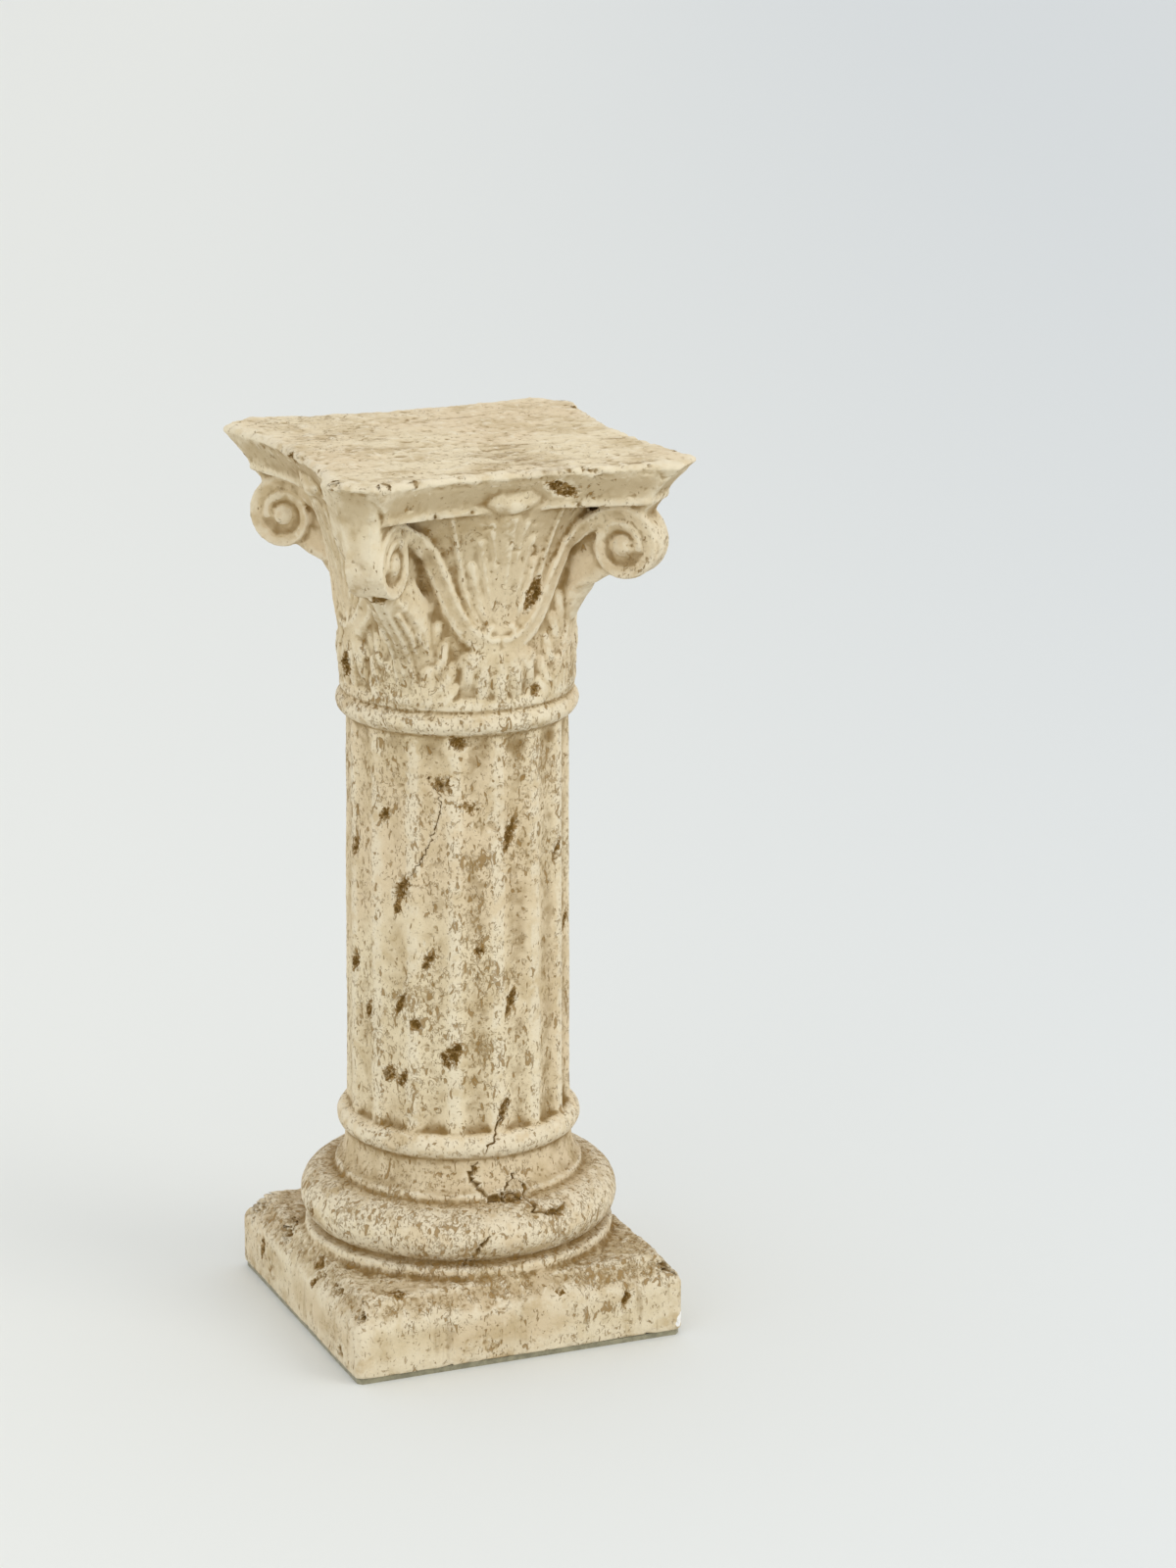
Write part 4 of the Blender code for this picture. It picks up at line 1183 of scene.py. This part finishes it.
places = points_of(cast)
edges = np.empty(len(cast.edges) * 2, dtype=np.int32)
cast.edges.foreach_get("vertices", edges)
first, second = edges.reshape(-1, 2).T
normals = np.empty(len(places) * 3, dtype=np.float32)
cast.vertex_normals.foreach_get("vector", normals)
normals = normals.reshape(-1, 3)
a_little = smoothed(places, first, second, 6)
a_lot = smoothed(a_little, first, second, 60)
fine = np.einsum("ij,ij->i", a_little - places, normals) / MM
broad = np.einsum("ij,ij->i", a_lot - places, normals) / MM
keep(cast, "fine_hollow", fine)
keep(cast, "broad_hollow", broad)
keep(cast, "pit", struck(places, PITS))
keep(cast, "bare", nearness(places, BARE_SPOTS, 4.0))
keep(cast, "upward", normals[:, 2])
for name, values in (("fine", fine), ("broad", broad)):
    print(name, "hollows in mm:", np.round(np.percentile(values, (1, 10, 50, 90, 99)), 3))

# %% [markdown]
# ## Shared finishes
#
# Two effects are used more than once, so each is a node group of its own: a fine grain for
# bump, and specks like commas, where the lifted edges of paint caught the brown wash. Most
# specks are upright dashes, the peaks of a noise that is stretched upwards. The rest are curls,
# short pieces of a contour line of another noise. An image of specks would repeat; this can't.

# %% Grain and speck groups
def srgb(red, green, blue):
    """A colour as a screen shows it, from 0 to 255, in Blender's linear values."""
    shares = [value / 255 for value in (red, green, blue)]
    return (*(s / 12.92 if s < 0.04045 else ((s + 0.055) / 1.055) ** 2.4 for s in shares), 1.0)


def blend(tree, factor, first_colour, second_colour):
    settings = {"data_type": "RGBA"}
    return linked(tree, "ShaderNodeMix", settings, i0=factor, i6=first_colour, i7=second_colour).outputs[2]


def grain_group():
    inputs = [VECTOR] + floats("Scale")
    tree, given, result = new_tree("fine grain", "ShaderNodeTree", inputs, floats("Height"))
    place, scale = given.outputs["Vector"], given.outputs["Scale"]
    coarse = noise_value(tree, place, scale, 5.0, 0.6)
    fine_scale = sums(tree, "MULTIPLY", scale, 4.3)
    sand = noise_value(tree, place, fine_scale, 2.0, 0.5)
    tree.links.new(sums(tree, "MULTIPLY_ADD", sand, 0.35, coarse), result.inputs["Height"])
    return tree


def speck_group():
    inputs = [VECTOR] + floats("Scale", "Cover")
    tree, given, result = new_tree("comma specks", "ShaderNodeTree", inputs, floats("Mask"))
    place, scale, cover = (given.outputs[name] for name in ("Vector", "Scale", "Cover"))
    tall = stretched(tree, place, (1.0, 1.0, 0.5))
    dashes = noise_value(tree, tall, scale, 2.5, 0.55, 0.9, 3.0)
    dashes = ramp(tree, sums(tree, "ADD", dashes, cover), 0.62, 0.675)
    field = noise_value(tree, place, sums(tree, "MULTIPLY", scale, 0.6), 1.5, 0.5, 1.3)
    contour = sums(tree, "ABSOLUTE", sums(tree, "SUBTRACT", field, 0.5))
    contour = ramp(tree, contour, 0.014, 0.045, 0.75, 0.0)
    pieces = noise_value(tree, place, sums(tree, "MULTIPLY", scale, 0.7), 2.0, 0.5, 0.0, 7.0)
    pieces = ramp(tree, sums(tree, "ADD", pieces, cover), 0.59, 0.65)
    curls = sums(tree, "MULTIPLY", contour, pieces)
    tree.links.new(sums(tree, "MAXIMUM", dashes, curls), result.inputs["Mask"])
    return tree


grain, specks = grain_group(), speck_group()
print("groups:", grain.name, len(grain.nodes), "nodes;", specks.name, len(specks.nodes), "nodes")

# %% [markdown]
# ## The aged plaster
#
# The colour is built in the order the maker worked: cream paint that varies a little, brown
# wash that settled in the hollows, painted shade on the faces that look down, a rub that took
# the wash off the arrises with painted highlight on broad rounded parts, then the specks and the
# dark floors of the pits. Last come the two chips where white plaster shows. One could paint
# it by hand, but masks from the measured hollows put the wash where it really gathers.

# %% Plaster material
def attribute(tree, name):
    return linked(tree, "ShaderNodeAttribute", {"attribute_name": name}).outputs["Fac"]


def fresh_material(material):
    """An empty node tree with a Principled shader and the object's own coordinates."""
    material.use_nodes = True
    tree = material.node_tree
    tree.nodes.clear()
    shader = tree.nodes.new("ShaderNodeBsdfPrincipled")
    output = tree.nodes.new("ShaderNodeOutputMaterial")
    tree.links.new(shader.outputs["BSDF"], output.inputs["Surface"])
    return tree, shader, tree.nodes.new("ShaderNodeTexCoord").outputs["Object"]


def bumped(tree, shader, height, distance, strength=1.0):
    bump = linked(tree, "ShaderNodeBump", None, Height=height, Distance=distance, Strength=strength)
    tree.links.new(bump.outputs["Normal"], shader.inputs["Normal"])


CREAM = srgb(230, 214, 179)
PINK_CREAM = srgb(224, 204, 168)
TAN = srgb(200, 178, 136)
WASH = srgb(156, 130, 86)
CREASE = srgb(138, 109, 62)
DEEP_WASH = srgb(106, 76, 18)
FLAKE = srgb(144, 110, 52)
RUBBED_AND_HIGHLIGHT = srgb(238, 226, 198)
BARE = srgb(248, 246, 240)


def plaster_finish(material):
    """Builds the aged paint on a material, and returns how many nodes it took."""
    tree, shader, place = fresh_material(material)
    height = linked(tree, "ShaderNodeSeparateXYZ", None, Vector=place).outputs["Z"]
    fine_hollow, broad_hollow = attribute(tree, "fine_hollow"), attribute(tree, "broad_hollow")

    colour = blend(tree, ramp(tree, noise_value(tree, place, 11.0, 2.0), 0.40, 0.62), CREAM, PINK_CREAM)
    clouds = ramp(tree, noise_value(tree, place, 42.0, 5.0, 0.62, 0.5), 0.44, 0.66, 0.0, 0.75)
    colour = blend(tree, clouds, colour, TAN)

    # Brushed streaks run across the top of the abacus.
    streaks = noise_value(tree, stretched(tree, place, (26.0, 190.0, 30.0)), 1.0, 6.0, 0.7, 1.1)
    streaky = sums(tree, "MULTIPLY_ADD", noise_value(tree, place, 21.0, 3.0), 0.55, streaks)
    crown = ramp(tree, height, STONE_TOP - 4 * MM, STONE_TOP - 1 * MM)
    crown = sums(tree, "MULTIPLY", ramp(tree, streaky, 0.80, 0.98, 0.0, 0.8), crown)
    colour = blend(tree, crown, colour, CREASE)

    # Thin wash has run down the sides of the plinth.
    drips = noise_value(tree, stretched(tree, place, (190.0, 190.0, 22.0)), 1.0, 4.0, 0.6, 0.6)
    low = ramp(tree, height, PLINTH_TOP, PLINTH_TOP - 3 * MM)
    drips = sums(tree, "MULTIPLY", ramp(tree, drips, 0.54, 0.70, 0.0, 0.55), low)
    colour = blend(tree, drips, colour, WASH)
    colour = blend(tree, sums(tree, "MULTIPLY", low, 0.13), colour, WASH)

    # Wash settled on the faces that look up low on the base, and the faces that look down get painted shade.
    upward = attribute(tree, "upward")
    settled_wash_and_underside_shade = sums(tree, "MULTIPLY", ramp(tree, upward, 0.15, 0.85, 0.0, 0.36),
                   ramp(tree, height, SHAFT_FOOT, SHAFT_FOOT - 25 * MM))
    settled_wash_and_underside_shade = sums(tree, "ADD", settled_wash_and_underside_shade, ramp(tree, upward, 0.0, -0.55, 0.0, 0.55))
    colour = blend(tree, settled_wash_and_underside_shade, colour, WASH)

    uneven = ramp(tree, noise_value(tree, place, 75.0, 3.0), 0.35, 0.65, 0.6, 1.15)
    wash = sums(tree, "MULTIPLY", ramp(tree, broad_hollow, 0.20, 2.1), 0.56)
    wash = sums(tree, "MULTIPLY_ADD", ramp(tree, fine_hollow, 0.03, 0.32), 0.45, wash)
    colour = blend(tree, sums(tree, "MULTIPLY", wash, uneven, clamp=True), colour, WASH)
    crease = sums(tree, "MULTIPLY", ramp(tree, fine_hollow, 0.16, 0.60, 0.0, 0.8), uneven, clamp=True)
    colour = blend(tree, crease, colour, CREASE)
    deep = sums(tree, "MULTIPLY", ramp(tree, broad_hollow, 2.2, 5.0), 0.35)
    deep = sums(tree, "MULTIPLY_ADD", ramp(tree, fine_hollow, 0.70, 1.5), 0.7, deep, clamp=True)
    colour = blend(tree, deep, colour, DEEP_WASH)

    # Wear rubbed the wash off the sharp arrises; the broad rounded parts get painted highlight.
    rub_and_highlight = ramp(tree, fine_hollow, -0.04, -0.30, 0.0, 0.65)
    rub_and_highlight = sums(tree, "MAXIMUM", rub_and_highlight, ramp(tree, broad_hollow, -0.35, -1.4, 0.0, 0.5))
    rub_and_highlight = sums(tree, "MULTIPLY", rub_and_highlight, ramp(tree, noise_value(tree, place, 120.0, 3.0), 0.35, 0.55))
    colour = blend(tree, rub_and_highlight, colour, RUBBED_AND_HIGHLIGHT)

    patches = sums(tree, "SUBTRACT", noise_value(tree, place, 30.0, 3.0, 0.6), 0.5)
    cover = sums(tree, "MULTIPLY_ADD", patches, 0.33, 0.026)
    # Specks are scarcer on the bell and the plinth, and thicker on the round base.
    on_bell_less = ramp(tree, height, BELL_FOOT + 12 * MM, BELL_FOOT + 46 * MM, 0.0, -0.06)
    on_base_more = ramp(tree, height, SCOTIA_LIP_TOP + 2 * MM, SCOTIA_LIP_TOP - 2 * MM, 0.0, 0.032)
    on_plinth_less = ramp(tree, height, PLINTH_TOP - 6 * MM, PLINTH_TOP - 12 * MM, 0.0, -0.060)
    pit = attribute(tree, "pit")
    in_pits_more = sums(tree, "MULTIPLY", pit, 0.06)
    for share in (sums(tree, "ADD", on_base_more, on_plinth_less), on_bell_less, in_pits_more):
        cover = sums(tree, "ADD", cover, share)
    marks = linked(tree, "ShaderNodeGroup", {"node_tree": specks}, Vector=place, Scale=330.0, Cover=cover)
    small = sums(tree, "ADD", cover, -0.01)
    small = linked(tree, "ShaderNodeGroup", {"node_tree": specks}, Vector=place, Scale=620.0, Cover=small)
    marks = sums(tree, "MAXIMUM", marks.outputs["Mask"], sums(tree, "MULTIPLY", small.outputs["Mask"], 0.7))
    colour = blend(tree, sums(tree, "MULTIPLY", marks, 0.78), colour, FLAKE)

    ragged = noise_value(tree, place, 330.0, 4.0, 0.62, 1.2)
    torn = sums(tree, "MULTIPLY_ADD", ragged, 3.0, sums(tree, "SUBTRACT", pit, 2.25))
    colour = blend(tree, ramp(tree, torn, -0.20, 0.05, 0.0, 0.85), colour, FLAKE)
    colour = blend(tree, ramp(tree, torn, 0.10, 0.30, 0.0, 0.95), colour, DEEP_WASH)

    bare = ramp(tree, sums(tree, "MULTIPLY_ADD", ragged, 0.5, attribute(tree, "bare")), 0.55, 0.65)
    colour = blend(tree, bare, colour, BARE)
    tree.links.new(colour, shader.inputs["Base Color"])

    sand = linked(tree, "ShaderNodeGroup", {"node_tree": grain}, Vector=place, Scale=420.0).outputs["Height"]
    relief = sums(tree, "MULTIPLY_ADD", marks, -0.5, sums(tree, "MULTIPLY", sand, 0.85))
    bumped(tree, shader, relief, 0.75 * MM)
    tree.links.new(ramp(tree, wash, 0.0, 1.0, 0.84, 0.95), shader.inputs["Roughness"])
    shader.inputs["Specular IOR Level"].default_value = 0.3
    return len(tree.nodes)


print("plaster nodes:", plaster_finish(plaster))
cast.materials.clear()
cast.materials.append(plaster)
for face in cast.polygons:
    face.material_index = 0
cast.shade_smooth()
column = placed("cast_column", cast)
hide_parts("column")
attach(column, "root")

# %% [markdown]
# ## The felt pad
#
# A square of thin felt is glued under the plinth, so that the column doesn't scratch what it
# stands on. Its shape in the frame is right, so it keeps that and only gets its cloth: a
# greenish grey with the faint mottle and nap of pressed fibres.

# %% Felt
def felt_finish(material):
    tree, shader, place = fresh_material(material)
    mottle = ramp(tree, noise_value(tree, place, 240.0, 4.0, 0.6), 0.35, 0.65)
    tree.links.new(blend(tree, mottle, srgb(132, 127, 102), srgb(158, 152, 124)), shader.inputs["Base Color"])
    nap = linked(tree, "ShaderNodeGroup", {"node_tree": grain}, Vector=place, Scale=900.0).outputs["Height"]
    bumped(tree, shader, nap, 0.4 * MM)
    shader.inputs["Roughness"].default_value = 1.0
    shader.inputs["Sheen Weight"].default_value = 0.25
    shader.inputs["Sheen Roughness"].default_value = 0.6


felt = bpy.data.materials.new("pressed felt")
felt_finish(felt)
pad = frame["nodes"]["felt_pad"]
for slot in pad.material_slots:
    slot.material = felt
print("felt on", pad.name, "with", len(pad.material_slots), "slot")

# %% [markdown]
# ## Floor, light and camera
#
# The photograph was taken in a pale room with light from everywhere, a little more of it from
# the upper right. A wide pale floor, a soft sky and two large soft lamps give that. The camera
# stands where the photograph's own perspective puts it, looking down on the column's left
# front corner through a long lens.

# %% Floor, light and camera
from mathutils import Matrix

FLOOR_HALF = 14.0
floor_mesh = bpy.data.meshes.new("floor")
corners = [(-FLOOR_HALF, -FLOOR_HALF, 0), (FLOOR_HALF, -FLOOR_HALF, 0)]
corners += [(FLOOR_HALF, FLOOR_HALF, 0), (-FLOOR_HALF, FLOOR_HALF, 0)]
floor_mesh.from_pydata(corners, [], [(0, 1, 2, 3)])
floor = placed("pale_floor", floor_mesh)


def floor_finish(material):
    tree, shader, place = fresh_material(material)
    # Painted shade: the floor is painted darker towards the camera's right, and lighter and warmer towards
    # its left, where more light falls.
    settings = {"operation": "DOT_PRODUCT"}
    aside = linked(tree, "ShaderNodeVectorMath", settings, i0=place, i1=(0.92, -0.39, 0.0))
    aside = ramp(tree, aside.outputs["Value"], -0.9, 0.9)
    colour = blend(tree, aside, srgb(237, 237, 229), srgb(221, 224, 222))
    tree.links.new(colour, shader.inputs["Base Color"])
    plain = linked(tree, "ShaderNodeGroup", {"node_tree": grain}, Vector=place, Scale=60.0).outputs["Height"]
    bumped(tree, shader, plain, 0.1 * MM, 0.3)
    shader.inputs["Roughness"].default_value = 0.8


pale = bpy.data.materials.new("pale floor")
floor_finish(pale)
floor_mesh.materials.append(pale)

world = bpy.data.worlds.new("soft sky")
world.use_nodes = True
sky = world.node_tree.nodes["Background"]
sky.inputs["Color"].default_value = srgb(246, 248, 252)
sky.inputs["Strength"].default_value = 0.985
scene.world = world


def aimed(position, target):
    """A matrix at the position whose own -Z looks at the target."""
    looking = (Vector(target) - Vector(position)).to_track_quat("-Z", "Y")
    return Matrix.Translation(position) @ looking.to_matrix().to_4x4()


def add_lamp(name, position, energy):
    """A large soft round lamp that looks at the middle of the column."""
    lamp = bpy.data.lights.new(name, "AREA")
    lamp.shape = "DISK"
    lamp.size = 1.6
    lamp.energy = energy
    lamp.color = (1.0, 0.975, 0.93)
    placed(name, lamp).matrix_world = aimed(position, (0.0, 0.0, 0.22))


add_lamp("soft_key", (1.5, -1.7, 1.9), 15.0)
add_lamp("low_fill", (-1.7, -1.7, 0.9), 4.5)

AZIMUTH, PITCH, ROLL = math.radians(-22.95), math.radians(15.60), math.radians(0.31)
CAMERA_PLACE = (-0.75592, -1.95225, 0.85968)
PHOTO_HEIGHT, FOCAL_PIXELS = 1600, 4446.0
back = Vector((math.sin(AZIMUTH) * math.cos(PITCH), -math.cos(AZIMUTH) * math.cos(PITCH), math.sin(PITCH)))
level = Vector((math.cos(AZIMUTH), math.sin(AZIMUTH), 0.0))
upright = back.cross(level)
right = level * math.cos(ROLL) + upright * math.sin(ROLL)
up = upright * math.cos(ROLL) - level * math.sin(ROLL)

lens = bpy.data.cameras.new("photo lens")
lens.sensor_width = 36.0
lens.lens = lens.sensor_width * FOCAL_PIXELS / PHOTO_HEIGHT
lens.clip_end = 60.0
camera = placed("photo_camera", lens)
pose = Matrix((right, up, back)).transposed().to_4x4()
camera.matrix_world = Matrix.Translation(CAMERA_PLACE) @ pose
scene.camera = camera
scene.view_settings.view_transform = "Standard"
print("lens", round(lens.lens, 2), "mm, camera", round(camera.location.length, 3), "m away")
